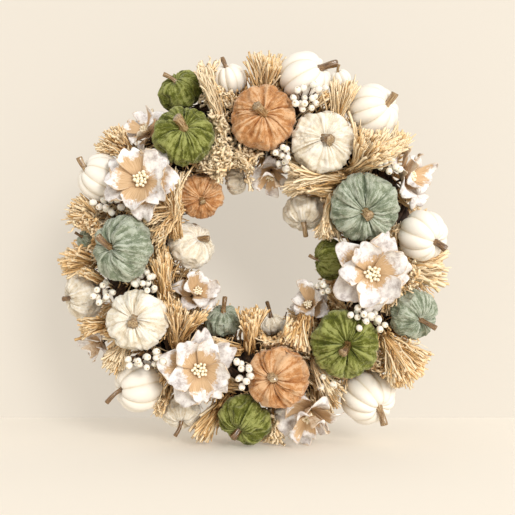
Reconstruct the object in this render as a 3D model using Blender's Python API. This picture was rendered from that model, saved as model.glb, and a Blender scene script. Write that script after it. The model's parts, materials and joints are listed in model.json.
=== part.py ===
"""Harvest door wreath, dressed on its front and both edges, hung by a wire loop that folds flat.

The base is a ring of twisted vine hanks bound with wire. Stuffed velvet pumpkins, moulded pumpkins,
wooden flowers, berry sprays and tufts of cut straw are glued to it.

Units are metres, +Z is up, and the front faces -Y, so +X is to the right seen from the front.
The origin is the seat of the hanging loop: the point inside its top where a door hook bears.
"Clock" angles are degrees clockwise from twelve o'clock seen from the front, "reach" is a distance
from the wreath's centre, and "forward" is a distance in front of the ring's centre plane.
"""

import math

import bmesh
import bpy
from mathutils import Matrix, Vector

MM = 0.001

# Driving dimensions, in millimetres and degrees.
RING_RADIUS = 150.0  # centre of the vine bundle, from the wreath's centre
BUNDLE_RADIUS = 40.0  # outside of the bundle, from its own centre
HANKS = 5
HANK_TWISTS = 3  # turns that a hank makes round the bundle in one lap
HANK_RADIUS = 13.0  # leaves a millimetre between neighbours where the lay is tightest
HANK_LAP_STEPS = 48
HANK_SIDES = 6
BIND_WIRE_RADIUS = 1.0
BIND_GAP = 0.6  # between a binding wire and the bundle
SEAT_GAP = 3.2  # bundle to what is glued on, which leaves room for the binding wires

EYE_SPREAD = 14.0  # each eye's distance from the wreath's middle
EYE_RADIUS = 3.2  # centre line of the wire that forms an eye
EYE_WIRE_RADIUS = 1.1
LOOP_WIRE_RADIUS = 1.4
LOOP_HALF_WIDTH = 19.0
LOOP_PIN_END = 7.0  # where each in-turned end of the loop stops, from the middle
LOOP_BEND = 2.5  # radius of the bend from pin to leg
LOOP_HEIGHT = 46.0  # hinge axis to the centre of the wire at the loop's top
WIRE_SIDES = 5
BAND_STEPS = 28
EYE_STEPS = 12
LOOP_SIDES = 8
ARCH_STEPS = 6  # in each quarter of the loop's arch

EYE_SINK = 0.8  # how far the wires of an eye and of its binding run into each other
EYE_BACK = BUNDLE_RADIUS + BIND_GAP + 2 * BIND_WIRE_RADIUS + EYE_RADIUS + EYE_WIRE_RADIUS - EYE_SINK
HOOK_RISE = LOOP_HEIGHT - LOOP_WIRE_RADIUS  # hinge axis to the hook's seat
EYE_HEIGHT = 150.0  # hinge axis above the wreath's centre
CENTRE = Vector((0.0, -EYE_BACK, -(EYE_HEIGHT + HOOK_RISE)))  # wreath's centre, from the hook's seat

PUMPKIN_RIBS = 8
PUMPKIN_ROWS = 5
VELVET_PLUMPNESS = 0.64  # height over width
SHELL_PLUMPNESS = 0.76
SKIN_CURVE = 0.8  # power of the sine that gives a pumpkin's side its roundness
GROOVE = 0.92  # radius in a groove over radius on a rib's crown
DIP_DEPTH = 0.22  # dip in each end, over half the height
DIP_WIDTH = 0.3  # over the width
STEM_SIDES = 5
STEM_ROOT = 0.55  # where the stem starts, over half the pumpkin's height
STEM_BEND = 0.55  # how far its tip stands aside, over its length
STEM_RISE = 0.8  # how far its tip stands up, over its length
STEM_SUNK = 4.0  # length of it inside the dip
STEM_GIRTH = (0.62, 0.5, 0.42, 0.5)  # radius from root to tip, over its width
PICK_RADIUS = 1.5  # wooden pick that ties an ornament beside the ring back to the vines
PICK_GAP = 0.6
PICK_SIDES = 4
PETAL_THICKNESS = 2.4
CUP_ROWS = ((0.20, 0.0), (0.62, 0.40), (1.0, 1.0))  # share of the radius, share of the depth
RIM_NOTCH = 0.78  # radius between two petals, over the radius at their tips
BOSS_RADIUS = 0.112  # of the bunch of buds, over the flower's width
BOSS_HEIGHT = 5.0
BOSS_RISE = 0.12  # share of the cup's depth that lifts the bunch
BERRY_RADIUS = 4.6
BERRY_REACH = 7.5  # berry to the spray's middle wire
BERRY_RISE = 2.0
STALK_RUN = 5.0  # along the middle wire, from a stalk's foot to its berry
TWIG_RADIUS = 0.9
TUFT_SIDES = 12
TUFT_ROWS = ((0.0, 0.22), (0.35, 0.42), (1.0, 1.0))  # share of the length, share of the spread
RAGGED = 0.88  # the shorter straws at a tuft's end, over its length

COLOURS = {  # base colour, roughness, metallic
    "vine": ((0.10, 0.065, 0.04), 0.85, 0.0),
    "wire": ((0.30, 0.29, 0.28), 0.35, 1.0),
    "green_velvet": ((0.22, 0.27, 0.06), 0.90, 0.0),
    "sage_velvet": ((0.29, 0.37, 0.29), 0.90, 0.0),
    "orange_velvet": ((0.62, 0.28, 0.10), 0.90, 0.0),
    "cream_velvet": ((0.76, 0.68, 0.52), 0.90, 0.0),
    "white_shell": ((0.85, 0.81, 0.70), 0.55, 0.0),
    "petal_wood": ((0.80, 0.72, 0.62), 0.80, 0.0),
    "berry": ((0.84, 0.79, 0.66), 0.50, 0.0),
    "straw": ((0.66, 0.50, 0.28), 0.85, 0.0),
}

# Pumpkins: name, skin, clock, reach, forward, width, lean of the stem end away from the front, the
# clock direction of that lean, the clock direction the stem bends to, stem length, stem width.
# Forward is the least it can be: a pumpkin that would sink into the bundle rests on it instead.
PUMPKINS = [
    ("pumpkin_green_top", "green_velvet", 334, 208, 12, 60, 60, 333, 288, 18, 5),
    ("pumpkin_green_upper_left", "green_velvet", 327, 155, 60, 73, 22, 15, 308, 20, 8),
    ("pumpkin_orange_top", "orange_velvet", 2, 150.5, 62, 78, 10, 30, 302, 20, 9),
    ("pumpkin_cream_top", "cream_velvet", 31, 145, 60, 76, 5, 60, 116, 12, 13),
    ("pumpkin_white_top", "white_shell", 15.5, 207, 12, 66, 60, 59, 74, 24, 6),
    ("pumpkin_white_top_small", "white_shell", 26, 228, -14, 26, 70, 336, 70, 9, 3),
    ("pumpkin_white_top_left", "white_shell", 350.5, 204, 4, 43, 70, 345, 342, 14, 5),
    ("pumpkin_white_upper_right", "white_shell", 39.5, 211, 8, 67, 52, 71, 14, 18, 7),
    ("pumpkin_sage_right", "sage_velvet", 69, 131, 60, 83, 15, 193, 127, 12, 12),
    ("pumpkin_white_right", "white_shell", 85.5, 191, 12, 62, 45, 118, 124, 16, 6),
    ("pumpkin_green_right_inner", "green_velvet", 98, 86, 20, 51, 80, 265, 282, 14, 3),
    ("pumpkin_sage_lower_right", "sage_velvet", 113, 197, 24, 62, 35, 122, 122, 22, 5),
    ("pumpkin_green_lower_right", "green_velvet", 137, 147, 62, 81, 3, 90, 219, 20, 8),
    ("pumpkin_white_lower_right", "white_shell", 143, 218, 15, 70, 45, 135, 175, 24, 7),
    ("pumpkin_orange_bottom", "orange_velvet", 171, 147, 60, 75, 20, 262, 37, 8, 13),
    ("pumpkin_green_bottom", "green_velvet", 184, 200, 22, 66, 46, 219, 221, 14, 7),
    ("pumpkin_cream_lower_left", "cream_velvet", 239, 160, 60, 74, 15, 325, 169, 14, 11),
    ("pumpkin_sage_left", "sage_velvet", 270, 153, 60, 79, 40, 277, 333, 24, 6),
    ("pumpkin_white_left", "white_shell", 294.5, 202, 8, 59, 70, 298, 343, 18, 6),
    ("pumpkin_cream_left", "cream_velvet", 255, 216, 5, 62, 65, 262, 262, 12, 5),
    ("pumpkin_white_lower_left", "white_shell", 221, 213, 15, 66, 62, 263, 216, 26, 4),
    ("pumpkin_cream_bottom", "cream_velvet", 205, 214, 18, 48, 50, 174, 218, 20, 4),
    ("pumpkin_orange_inner_left", "orange_velvet", 313, 90, 20, 56, 10, 163, 158, 8, 6),
    ("pumpkin_cream_inner_left", "cream_velvet", 273, 79, 18, 62, 55, 50, 112, 15, 6),
    ("pumpkin_cream_inner_top", "cream_velvet", 342, 86, 5, 36, 80, 80, 188, 20, 4),
    ("pumpkin_cream_inner_right", "cream_velvet", 52, 70, 10, 54, 60, 182, 174, 18, 5),
    ("pumpkin_sage_inner_bottom", "sage_velvet", 205, 94, 15, 47, 65, 356, 3, 19, 5),
    ("pumpkin_cream_inner_bottom", "cream_velvet", 169, 92, 5, 34, 75, 350, 349, 20, 4),
]

# Flowers: name, clock, reach, forward, width, depth of the cup, lean, lean clock, petals.
FLOWERS = [
    ("flower_upper_left", 300.5, 151, 72, 82, 15, 5, 330, 6),
    ("flower_top_left_edge", 317, 186, 20, 52, 16, 50, 310, 5),
    ("flower_inner_top", 10, 97, 22, 50, 18, 60, 190, 5),
    ("flower_right_edge", 64, 190, 16, 72, 24, 55, 70, 5),
    ("flower_right", 102, 132, 74, 84, 15, 5, 90, 6),
    ("flower_inner_left", 234, 92, 28, 52, 22, 35, 40, 5),
    ("flower_lower_left", 206, 152, 70, 81, 15, 8, 80, 6),
    ("flower_inner_right", 137.5, 96, 22, 50, 18, 45, 320, 5),
    ("flower_bottom", 161.5, 193, 34, 78, 22, 55, 185, 6),
    ("flower_left_edge", 239, 216, 0, 42, 16, 80, 240, 5),
]

# Berry sprays: name, clock, reach, forward, clock direction the twig runs to, length, berries.
SPRAYS = [
    ("berries_top", 18.5, 180, 73, 60, 38, 6),
    ("berries_inner_top", 15, 109, 70, 165, 30, 5),
    ("berries_upper_right", 58, 178, 62, 110, 30, 5),
    ("berries_left", 287, 177, 55, 90, 30, 6),
    ("berries_lower_left", 224.5, 175, 75, 80, 38, 6),
    ("berries_bottom", 186.5, 140, 86, 0, 32, 5),
    ("berries_right", 123, 141, 84, 115, 36, 6),
]

# Straw tufts: name, clock, reach, forward of the root, clock direction, slope towards the front,
# length, width of the spread end, thickness of the spread end.
TUFTS = [
    ("straw_top", 1, 193, 18, 2, 10, 44, 52, 18),
    ("straw_upper_right", 50, 170, 44, 50, 35, 46, 56, 18),
    ("straw_inner_upper_right", 43, 116, 40, 225, 25, 40, 44, 16),
    ("straw_right", 99.5, 186, 18, 96, 25, 44, 46, 16),
    ("straw_lower_right", 127.5, 185, 24, 122, 25, 48, 46, 18),
    ("straw_bottom_left", 194, 189, 14, 197, 15, 44, 29, 13),
    ("straw_left", 264, 188, 8, 280, 20, 42, 44, 16),
]


def clear_scene():
    for old in list(bpy.data.objects):
        bpy.data.objects.remove(old)


def finish_material(name):
    """The Principled material of one finish, made once."""
    found = bpy.data.materials.get(name)
    if found:
        return found
    colour, roughness, metallic = COLOURS[name]
    made = bpy.data.materials.new(name)
    made.use_nodes = True
    shader = made.node_tree.nodes["Principled BSDF"]
    shader.inputs["Base Color"].default_value = (*colour, 1.0)
    shader.inputs["Roughness"].default_value = roughness
    shader.inputs["Metallic"].default_value = metallic
    return made


def add_object(name, data, finish, parent, matrix=None):
    """A named object with its finish, placed in its parent's space."""
    made = bpy.data.objects.new(name, data)
    data.materials.append(finish_material(finish))
    bpy.context.scene.collection.objects.link(made)
    made.parent = parent
    if matrix is not None:
        made.matrix_local = matrix
    return made


def add_mesh(name, bm, finish, parent, matrix=None):
    """Closes a bmesh's build: normals outwards, smooth shading with sharp edges kept."""
    bmesh.ops.recalc_face_normals(bm, faces=bm.faces)
    mesh = bpy.data.meshes.new(name)
    bm.to_mesh(mesh)
    bm.free()
    mesh.shade_smooth()
    mesh.set_sharp_from_angle(angle=math.radians(50))
    return add_object(name, mesh, finish, parent, matrix)


def add_empty(name, location=(0, 0, 0), parent=None):
    made = bpy.data.objects.new(name, None)
    bpy.context.scene.collection.objects.link(made)
    made.parent = parent
    made.location = location
    return made


def clock_vector(clock, slope=0.0):
    """Unit vector in the wreath's plane at a clock angle, tipped towards the front by slope."""
    turn, tip = math.radians(clock), math.radians(slope)
    flat = Vector((math.sin(turn), 0.0, math.cos(turn)))
    return flat * math.cos(tip) + Vector((0.0, -1.0, 0.0)) * math.sin(tip)


def wreath_point(clock, reach, forward):
    """Place in the wreath's own space, in millimetres."""
    return clock_vector(clock) * reach + Vector((0.0, -forward, 0.0))


def facing_frame(lean, lean_clock, side_clock):
    """Rotation whose Z leans from the front towards one clock direction, and X towards another."""
    axis = clock_vector(lean_clock, 90.0 - lean)
    side = clock_vector(side_clock)
    side = side - axis * side.dot(axis)
    if side.length < 1e-6:
        side = Vector((0.0, 0.0, 1.0)).cross(axis)
    side.normalize()
    across = axis.cross(side)
    return Matrix((side, across, axis)).transposed()


def skin_rings(bm, rings, close=False):
    """Faces between consecutive rings of vertices, with end caps unless the rings close up."""
    for low, high in zip(rings, rings[1:] + (rings[:1] if close else [])):
        for i in range(len(low)):
            j = (i + 1) % len(low)
            bm.faces.new((low[i], low[j], high[j], high[i]))
    if not close:
        bm.faces.new(reversed(rings[0]))
        bm.faces.new(rings[-1])


def tube(bm, points, radii, sides):
    """Round tube through points, with flat ends. Its rings keep turning the least they can."""
    rings = []
    frame_x = None
    for i, point in enumerate(points):
        ahead = (points[min(i + 1, len(points) - 1)] - points[max(i - 1, 0)]).normalized()
        if frame_x is None:
            frame_x = ahead.orthogonal()
        frame_x = (frame_x - ahead * frame_x.dot(ahead)).normalized()
        frame_y = ahead.cross(frame_x)
        ring = []
        for k in range(sides):
            turn = 2 * math.pi * k / sides
            offset = (frame_x * math.cos(turn) + frame_y * math.sin(turn)) * radii[i]
            ring.append(bm.verts.new(point + offset))
        rings.append(ring)
    skin_rings(bm, rings)


def scaled(vectors):
    return [v * MM for v in vectors]


def tube_object(name, points, radii, sides, finish, parent, matrix=None):
    bm = bmesh.new()
    tube(bm, scaled(points), [r * MM for r in radii], sides)
    return add_mesh(name, bm, finish, parent, matrix)


def union_into(body, pieces):
    """Joins other closed pieces to a body, which keeps its place and its name."""
    for piece in pieces:
        piece.hide_render = True
        piece.display_type = "WIRE"
        join = body.modifiers.new("join_" + piece.name, "BOOLEAN")
        join.operation = "UNION"
        join.solver = "EXACT"
        join.object = piece


# --- Ring of vine hanks -------------------------------------------------------------------------


def bundle_point(lap, turn, offset):
    """Point at a lap angle round the wreath and a turn angle round the bundle, in millimetres."""
    out = Vector((math.sin(lap), 0.0, math.cos(lap)))
    return out * (RING_RADIUS + offset * math.cos(turn)) + Vector((0.0, -offset * math.sin(turn), 0.0))


def vine_hanks(parent):
    """Hanks laid up like a rope round the ring. Each is a closed tube that clears the next."""
    offset = BUNDLE_RADIUS - HANK_RADIUS
    for k in range(HANKS):
        centre_line = []
        for i in range(HANK_LAP_STEPS):
            lap = 2 * math.pi * i / HANK_LAP_STEPS
            turn = HANK_TWISTS * lap + 2 * math.pi * k / HANKS
            centre_line.append(bundle_point(lap, turn, offset))
        bm = bmesh.new()
        rings = []
        for i, point in enumerate(centre_line):
            ahead = (centre_line[(i + 1) % HANK_LAP_STEPS] - centre_line[i - 1]).normalized()
            lap = 2 * math.pi * i / HANK_LAP_STEPS
            outward = (point - bundle_point(lap, 0.0, 0.0)).normalized()
            outward = (outward - ahead * outward.dot(ahead)).normalized()
            sideways = ahead.cross(outward)
            ring = []
            for s in range(HANK_SIDES):
                around = 2 * math.pi * s / HANK_SIDES
                rim = outward * math.cos(around) + sideways * math.sin(around)
                ring.append(bm.verts.new((point + rim * HANK_RADIUS) * MM))
            rings.append(ring)
        skin_rings(bm, rings, close=True)
        add_mesh(f"vine_hank_{k + 1}", bm, "vine", parent)


def torus_mesh(radius, wire, steps, sides, matrix):
    """Closed ring of wire about the matrix's Z axis."""
    bm = bmesh.new()
    rings = []
    for i in range(steps):
        turn = 2 * math.pi * i / steps
        out = Vector((math.cos(turn), math.sin(turn), 0.0))
        ring = []
        for s in range(sides):
            around = 2 * math.pi * s / sides
            rim = out * (radius + wire * math.cos(around)) + Vector((0, 0, wire * math.sin(around)))
            ring.append(bm.verts.new(matrix @ (rim * MM)))
        rings.append(ring)
    skin_rings(bm, rings, close=True)
    return bm


def binding_matrix(clock):
    """Frame at the bundle's centre whose Z runs along the ring, X outwards."""
    lap = math.radians(clock)
    out = Vector((math.sin(lap), 0.0, math.cos(lap)))
    along = Vector((math.cos(lap), 0.0, -math.sin(lap)))
    turned = Matrix((out, along.cross(out), along)).transposed().to_4x4()
    return Matrix.Translation(out * RING_RADIUS * MM) @ turned


def hanger_bands(parent):
    """Two wires bound round the bundle, each twisted into an eye at the back for the loop."""
    band_radius = BUNDLE_RADIUS + BIND_GAP + BIND_WIRE_RADIUS
    for side, sign in (("left", -1), ("right", 1)):
        clock = math.degrees(math.asin(sign * EYE_SPREAD / RING_RADIUS))
        band = torus_mesh(band_radius, BIND_WIRE_RADIUS, BAND_STEPS, WIRE_SIDES, binding_matrix(clock))
        body = add_mesh(f"hanger_wire_{side}", band, "wire", parent)
        eye_place = Vector((sign * EYE_SPREAD, EYE_BACK, EYE_HEIGHT)) * MM
        turned = Matrix.Translation(eye_place) @ Matrix.Rotation(math.pi / 2, 4, "Y")
        eye = torus_mesh(EYE_RADIUS, EYE_WIRE_RADIUS, EYE_STEPS, WIRE_SIDES, turned)
        union_into(body, [add_mesh(f"eye_{side}", eye, "wire", parent)])


def hanging_loop(parent):
    """Bail of stiff wire. Its in-turned ends are pins in the two eyes, so it folds front to back."""
    shoulder = LOOP_HALF_WIDTH
    arch = LOOP_HEIGHT - shoulder
    corner = LOOP_BEND * (1 - math.sqrt(0.5))
    half = [Vector((LOOP_PIN_END, 0, 0)), Vector((shoulder - LOOP_BEND, 0, 0))]
    half.append(Vector((shoulder - corner, 0, corner)))
    half.append(Vector((shoulder, 0, LOOP_BEND)))
    for i in range(ARCH_STEPS + 1):
        turn = math.pi / 2 * i / ARCH_STEPS
        half.append(Vector((shoulder * math.cos(turn), 0, arch + shoulder * math.sin(turn))))
    mirrored = [Vector((-p.x, p.y, p.z)) for p in reversed(half[:-1])]
    path = half + mirrored
    radii = [LOOP_WIRE_RADIUS] * len(path)
    tube_object("hanging_loop", path, radii, LOOP_SIDES, "wire", parent)


# --- What is glued on ---------------------------------------------------------------------------


def seat_forward(points):
    """How far forward points at the ring's centre plane must move to clear the bound bundle."""
    clear = BUNDLE_RADIUS + SEAT_GAP
    needed = []
    for p in points:
        beside = abs(math.hypot(p.x, p.z) - RING_RADIUS)
        if beside < clear:
            needed.append(math.sqrt(clear**2 - beside**2) + p.y)
    return max(needed) if needed else 0.0


def seated_matrix(clock, reach, forward, turned, points):
    """Place of an ornament with these local points (mm), moved forward if it must be to rest on the ring."""
    base = wreath_point(clock, reach, 0.0)
    needed = seat_forward([base + turned @ p for p in points])
    place = wreath_point(clock, reach, max(forward, needed)) * MM
    return Matrix.Translation(place) @ turned.to_4x4()


def pumpkin_profile(width, plumpness):
    """Radius and height of each row, top to bottom: a squashed ball that dips in at both ends."""
    half_height = width * plumpness / 2
    rows = []
    for i in range(1, PUMPKIN_ROWS + 1):
        fall = math.pi * i / (PUMPKIN_ROWS + 1)
        radius = width / 2 * math.sin(fall) ** SKIN_CURVE
        dip = DIP_DEPTH * half_height * math.exp(-((radius / (DIP_WIDTH * width)) ** 2))
        rise = half_height * math.cos(fall)
        rows.append((radius, rise - math.copysign(dip, rise)))
    return rows


def pumpkin_points(width, plumpness):
    """Rows of points on the ribbed skin, two for each rib: one on its crown, one in its groove."""
    rows = []
    for radius, height in pumpkin_profile(width, plumpness):
        row = []
        for k in range(2 * PUMPKIN_RIBS):
            turn = math.pi * k / PUMPKIN_RIBS
            out = radius if k % 2 == 0 else radius * GROOVE
            row.append(Vector((out * math.cos(turn), out * math.sin(turn), height)))
        rows.append(row)
    return rows


def stem_path(height, length):
    """Stem from inside the pumpkin's top dip, rising and bending to the local +X side."""
    root = height / 2 * STEM_ROOT
    rise = length * STEM_RISE + STEM_SUNK
    steps = len(STEM_GIRTH) - 1
    points = []
    for i in range(steps + 1):
        t = i / steps
        points.append(Vector((STEM_BEND * length * t * t, 0.0, root + rise * t)))
    return points


def pick_object(name, root, finish, parent, matrix):
    """Pick from inside an ornament to just short of the vines, by the shortest way."""
    middle = matrix.translation / MM
    core = Vector((middle.x, 0.0, middle.z)).normalized() * RING_RADIUS
    end = core + (middle - core).normalized() * (BUNDLE_RADIUS + PICK_GAP)
    points = [Vector((0.0, 0.0, root)), matrix.inverted() @ (end * MM) / MM]
    return tube_object(name + "_pick", points, [PICK_RADIUS] * 2, PICK_SIDES, finish, parent, matrix)


def pumpkin(row, parent):
    name, skin, clock, reach, forward, width, lean, lean_clock, bend_clock, stem, stem_width = row
    plumpness = SHELL_PLUMPNESS if skin == "white_shell" else VELVET_PLUMPNESS
    rows = pumpkin_points(width, plumpness)
    turned = facing_frame(lean, lean_clock, bend_clock)
    matrix = seated_matrix(clock, reach, forward, turned, [p for r in rows for p in r])
    bm = bmesh.new()
    rings = [[bm.verts.new(p * MM) for p in r] for r in rows]
    skin_rings(bm, rings)
    body = add_mesh(name, bm, skin, parent, matrix)
    path = stem_path(width * plumpness, stem)
    radii = [stem_width * girth for girth in STEM_GIRTH]
    stalk = tube_object(name + "_stem", path, radii, STEM_SIDES, skin, parent, matrix)
    union_into(body, [stalk, pick_object(name, 0.0, skin, parent, matrix)])


def flower(row, parent):
    """Cup of broad petals: a closed sheet with a notched rim and a low boss of stamens inside."""
    name, clock, reach, forward, width, depth, lean, lean_clock, petals = row
    corners = 3 * petals
    boss = BOSS_RADIUS * width
    outer, inner = [], []
    for share, rise in CUP_ROWS:
        ring = []
        for k in range(corners):
            turn = 2 * math.pi * k / corners
            notch = RIM_NOTCH if share == 1.0 and k % 3 == 0 else 1.0
            radius = width / 2 * share * notch
            ring.append(Vector((radius * math.cos(turn), radius * math.sin(turn), depth * rise * notch)))
        outer.append(ring)
        inner.append([p + Vector((0, 0, PETAL_THICKNESS)) for p in ring])
    turned = facing_frame(lean, lean_clock, lean_clock + 40)
    matrix = seated_matrix(clock, reach, forward, turned, [p for r in outer for p in r])
    top = []
    for k in range(corners):
        turn = 2 * math.pi * k / corners
        height = PETAL_THICKNESS + depth * BOSS_RISE + BOSS_HEIGHT
        top.append(Vector((boss * math.cos(turn), boss * math.sin(turn), height)))
    bm = bmesh.new()
    layers = outer + list(reversed(inner)) + [top]
    skin_rings(bm, [[bm.verts.new(p * MM) for p in ring] for ring in layers])
    body = add_mesh(name, bm, "petal_wood", parent, matrix)
    union_into(body, [pick_object(name, PETAL_THICKNESS, "petal_wood", parent, matrix)])


def ball_mesh(centre, radius):
    bm = bmesh.new()
    matrix = Matrix.Translation(centre * MM)
    bmesh.ops.create_uvsphere(bm, u_segments=6, v_segments=4, radius=radius * MM, matrix=matrix)
    return bm


def berry_spray(row, parent):
    """Wired twig with berries on short stalks to each side in turn and one at its end."""
    name, clock, reach, forward, run_clock, length, berries = row
    place = wreath_point(clock, reach, forward) * MM
    run = clock_vector(run_clock)
    side = Vector((0.0, -1.0, 0.0)).cross(run)
    matrix = Matrix.Translation(place) @ Matrix((run, side, run.cross(side))).transposed().to_4x4()
    start = Vector((-length / 2, 0.0, 0.0))
    end = Vector((length / 2, 0.0, 0.0))
    body = tube_object(name, [start, end], [TWIG_RADIUS] * 2, 5, "berry", parent, matrix)
    pieces = []
    for i in range(berries):
        along = -length / 2 + length * (i + 1) / berries
        hand = 1 if i % 2 == 0 else -1
        out = 0.0 if i == berries - 1 else BERRY_REACH * hand
        foot = Vector((along - STALK_RUN, 0.0, 0.0))
        tip = Vector((along, out, BERRY_RISE if out else 0.0))
        ball = add_mesh(f"{name}_ball_{i}", ball_mesh(tip, BERRY_RADIUS), "berry", parent, matrix)
        stalk = tube_object(f"{name}_stalk_{i}", [foot, tip], [TWIG_RADIUS] * 2, 4, "berry", parent, matrix)
        pieces += [stalk, ball]
    union_into(body, pieces)


def straw_tuft(row, parent):
    """Tied bundle of cut straw that fans out to a ragged brush end."""
    name, clock, reach, forward, run_clock, slope, length, width, thickness = row
    place = wreath_point(clock, reach, forward) * MM
    run = clock_vector(run_clock, slope)
    across = clock_vector(run_clock + 90)
    matrix = Matrix.Translation(place) @ Matrix((across, run.cross(across), run)).transposed().to_4x4()
    bm = bmesh.new()
    rings = []
    for share, spread in TUFT_ROWS:
        ring = []
        for k in range(TUFT_SIDES):
            turn = 2 * math.pi * k / TUFT_SIDES
            ragged = 1.0 if share < 1.0 or k % 2 else RAGGED
            x = width / 2 * spread * math.cos(turn)
            y = thickness / 2 * (0.5 + 0.5 * spread) * math.sin(turn)
            ring.append(bm.verts.new(Vector((x, y, length * share * ragged)) * MM))
        rings.append(ring)
    skin_rings(bm, rings)
    add_mesh(name, bm, "straw", parent, matrix)


def main():
    clear_scene()
    wreath = add_empty("wreath", CENTRE * MM)
    vine_hanks(wreath)
    hanger_bands(wreath)
    loop_hinge = add_empty("loop_hinge", Vector((0, EYE_BACK, EYE_HEIGHT)) * MM, wreath)
    hanging_loop(loop_hinge)
    for row in PUMPKINS:
        pumpkin(row, wreath)
    for row in FLOWERS:
        flower(row, wreath)
    for row in SPRAYS:
        berry_spray(row, wreath)
    for row in TUFTS:
        straw_tuft(row, wreath)


main()
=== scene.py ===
import json
import math

import bpy
import numpy as np
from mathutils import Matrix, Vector


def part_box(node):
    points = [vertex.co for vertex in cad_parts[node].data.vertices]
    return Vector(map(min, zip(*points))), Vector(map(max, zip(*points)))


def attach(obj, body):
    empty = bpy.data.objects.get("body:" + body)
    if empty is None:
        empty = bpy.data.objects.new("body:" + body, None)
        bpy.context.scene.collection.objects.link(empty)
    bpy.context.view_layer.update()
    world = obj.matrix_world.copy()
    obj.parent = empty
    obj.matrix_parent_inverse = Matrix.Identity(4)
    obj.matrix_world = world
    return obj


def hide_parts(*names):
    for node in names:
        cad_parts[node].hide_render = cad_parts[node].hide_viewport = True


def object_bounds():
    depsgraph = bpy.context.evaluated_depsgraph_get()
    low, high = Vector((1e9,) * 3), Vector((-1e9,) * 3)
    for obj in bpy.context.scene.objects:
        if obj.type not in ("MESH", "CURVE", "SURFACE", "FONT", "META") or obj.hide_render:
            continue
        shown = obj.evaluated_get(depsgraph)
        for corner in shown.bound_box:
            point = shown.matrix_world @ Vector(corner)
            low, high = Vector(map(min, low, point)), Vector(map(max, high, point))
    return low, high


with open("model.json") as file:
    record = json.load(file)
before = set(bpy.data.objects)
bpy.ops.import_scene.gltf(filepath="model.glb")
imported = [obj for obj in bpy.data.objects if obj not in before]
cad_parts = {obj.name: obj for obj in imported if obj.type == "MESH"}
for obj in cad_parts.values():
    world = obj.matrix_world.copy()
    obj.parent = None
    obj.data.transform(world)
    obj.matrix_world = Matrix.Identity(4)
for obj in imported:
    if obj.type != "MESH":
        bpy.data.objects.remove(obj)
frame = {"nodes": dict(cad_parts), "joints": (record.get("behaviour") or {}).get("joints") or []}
cad_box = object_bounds()

# ---------------------------------------------------------------------------------------------
# The room: a pale floor and wall, a camera level with the wreath's middle, and soft studio light.
# The wreath's middle and its ring's radius are read from the five vine hanks of the frame.
# ---------------------------------------------------------------------------------------------

HANKS = [f"vine_hank_{k}" for k in range(1, 6)]
hank_boxes = np.array([[list(corner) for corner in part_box(name)] for name in HANKS])
ring_low, ring_high = hank_boxes[:, 0].min(0), hank_boxes[:, 1].max(0)
MIDDLE = (ring_low + ring_high) / 2
BUNDLE = 0.040  # radius of the rope that the hanks make
RING = round(float(ring_high[0] - ring_low[0]) / 2 - BUNDLE, 3)

VIEW_DISTANCE = 1.25  # camera to the plane that the largest pumpkins stand in
VIEW_WIDTH = 0.592  # what the camera sees across in that plane
PUMPKIN_PLANE = 0.058  # that plane, in front of the ring's middle
WREATH_RAISED = 0.0184  # the wreath's middle above the view's middle, as a share of its width
WALL_BEHIND = 0.18
FLOOR_BELOW = 0.0015
STUDIO_HALF = 3.0  # the floor and the wall reach this far
DAYLIGHT = (1.0, 0.98, 0.95)
SUNLIGHT = (1.0, 0.985, 0.955)
STUDIO_AIR = (1.0, 0.985, 0.965, 1.0)
SUN_STRENGTH, SUN_SPREAD = 1.80, 0.32  # the spread, in radians, softens its shadows
AIR_STRENGTH = 0.70

camera = bpy.data.objects.new("camera", bpy.data.cameras.new("camera"))
bpy.context.scene.collection.objects.link(camera)
bpy.context.scene.camera = camera
camera.location = MIDDLE + np.array([0.0, -PUMPKIN_PLANE - VIEW_DISTANCE, 0.0])
camera.rotation_euler = (math.pi / 2, 0.0, 0.0)
camera.data.lens = camera.data.sensor_width * VIEW_DISTANCE / VIEW_WIDTH
camera.data.shift_y = -WREATH_RAISED
camera.data.clip_start = 0.01
bpy.context.scene.view_settings.view_transform = "Standard"


def colour(red, green, blue):
    """Linear colour with alpha from display values 0 to 255: each is raised to the power 2.2."""
    return (*[(value / 255) ** 2.2 for value in (red, green, blue)], 1.0)


def new_finish(name, base, roughness):
    """(material, its node tree, its Principled shader) with a plain base to build on."""
    made = bpy.data.materials.new(name)
    made.use_nodes = True
    tree = made.node_tree
    shader = tree.nodes["Principled BSDF"]
    shader.inputs["Base Color"].default_value = base
    shader.inputs["Roughness"].default_value = roughness
    return made, tree, shader


def studio_paint(name, base, glow):
    """Matt paint, lit a little from within like a light box, and clear from behind, so that the
    wreath's back can be looked at through it."""
    paint, tree, shader = new_finish(name, base, 0.9)
    shader.inputs["Emission Color"].default_value = (1.0, 0.91, 0.78, 1.0)
    shader.inputs["Emission Strength"].default_value = glow
    shader.inputs["Specular IOR Level"].default_value = 0.1
    side = tree.nodes.new("ShaderNodeNewGeometry")
    clear = tree.nodes.new("ShaderNodeBsdfTransparent")
    mix = tree.nodes.new("ShaderNodeMixShader")
    tree.links.new(side.outputs["Backfacing"], mix.inputs["Fac"])
    tree.links.new(shader.outputs["BSDF"], mix.inputs[1])
    tree.links.new(clear.outputs["BSDF"], mix.inputs[2])
    tree.links.new(mix.outputs["Shader"], tree.nodes["Material Output"].inputs["Surface"])
    return paint


def studio_sheet(name, corners, paint):
    """One flat four-cornered face that isn't part of the wreath."""
    mesh = bpy.data.meshes.new(name)
    mesh.from_pydata(corners, [], [(0, 1, 2, 3)])
    mesh.materials.append(paint)
    made = bpy.data.objects.new(name, mesh)
    bpy.context.scene.collection.objects.link(made)


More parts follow.
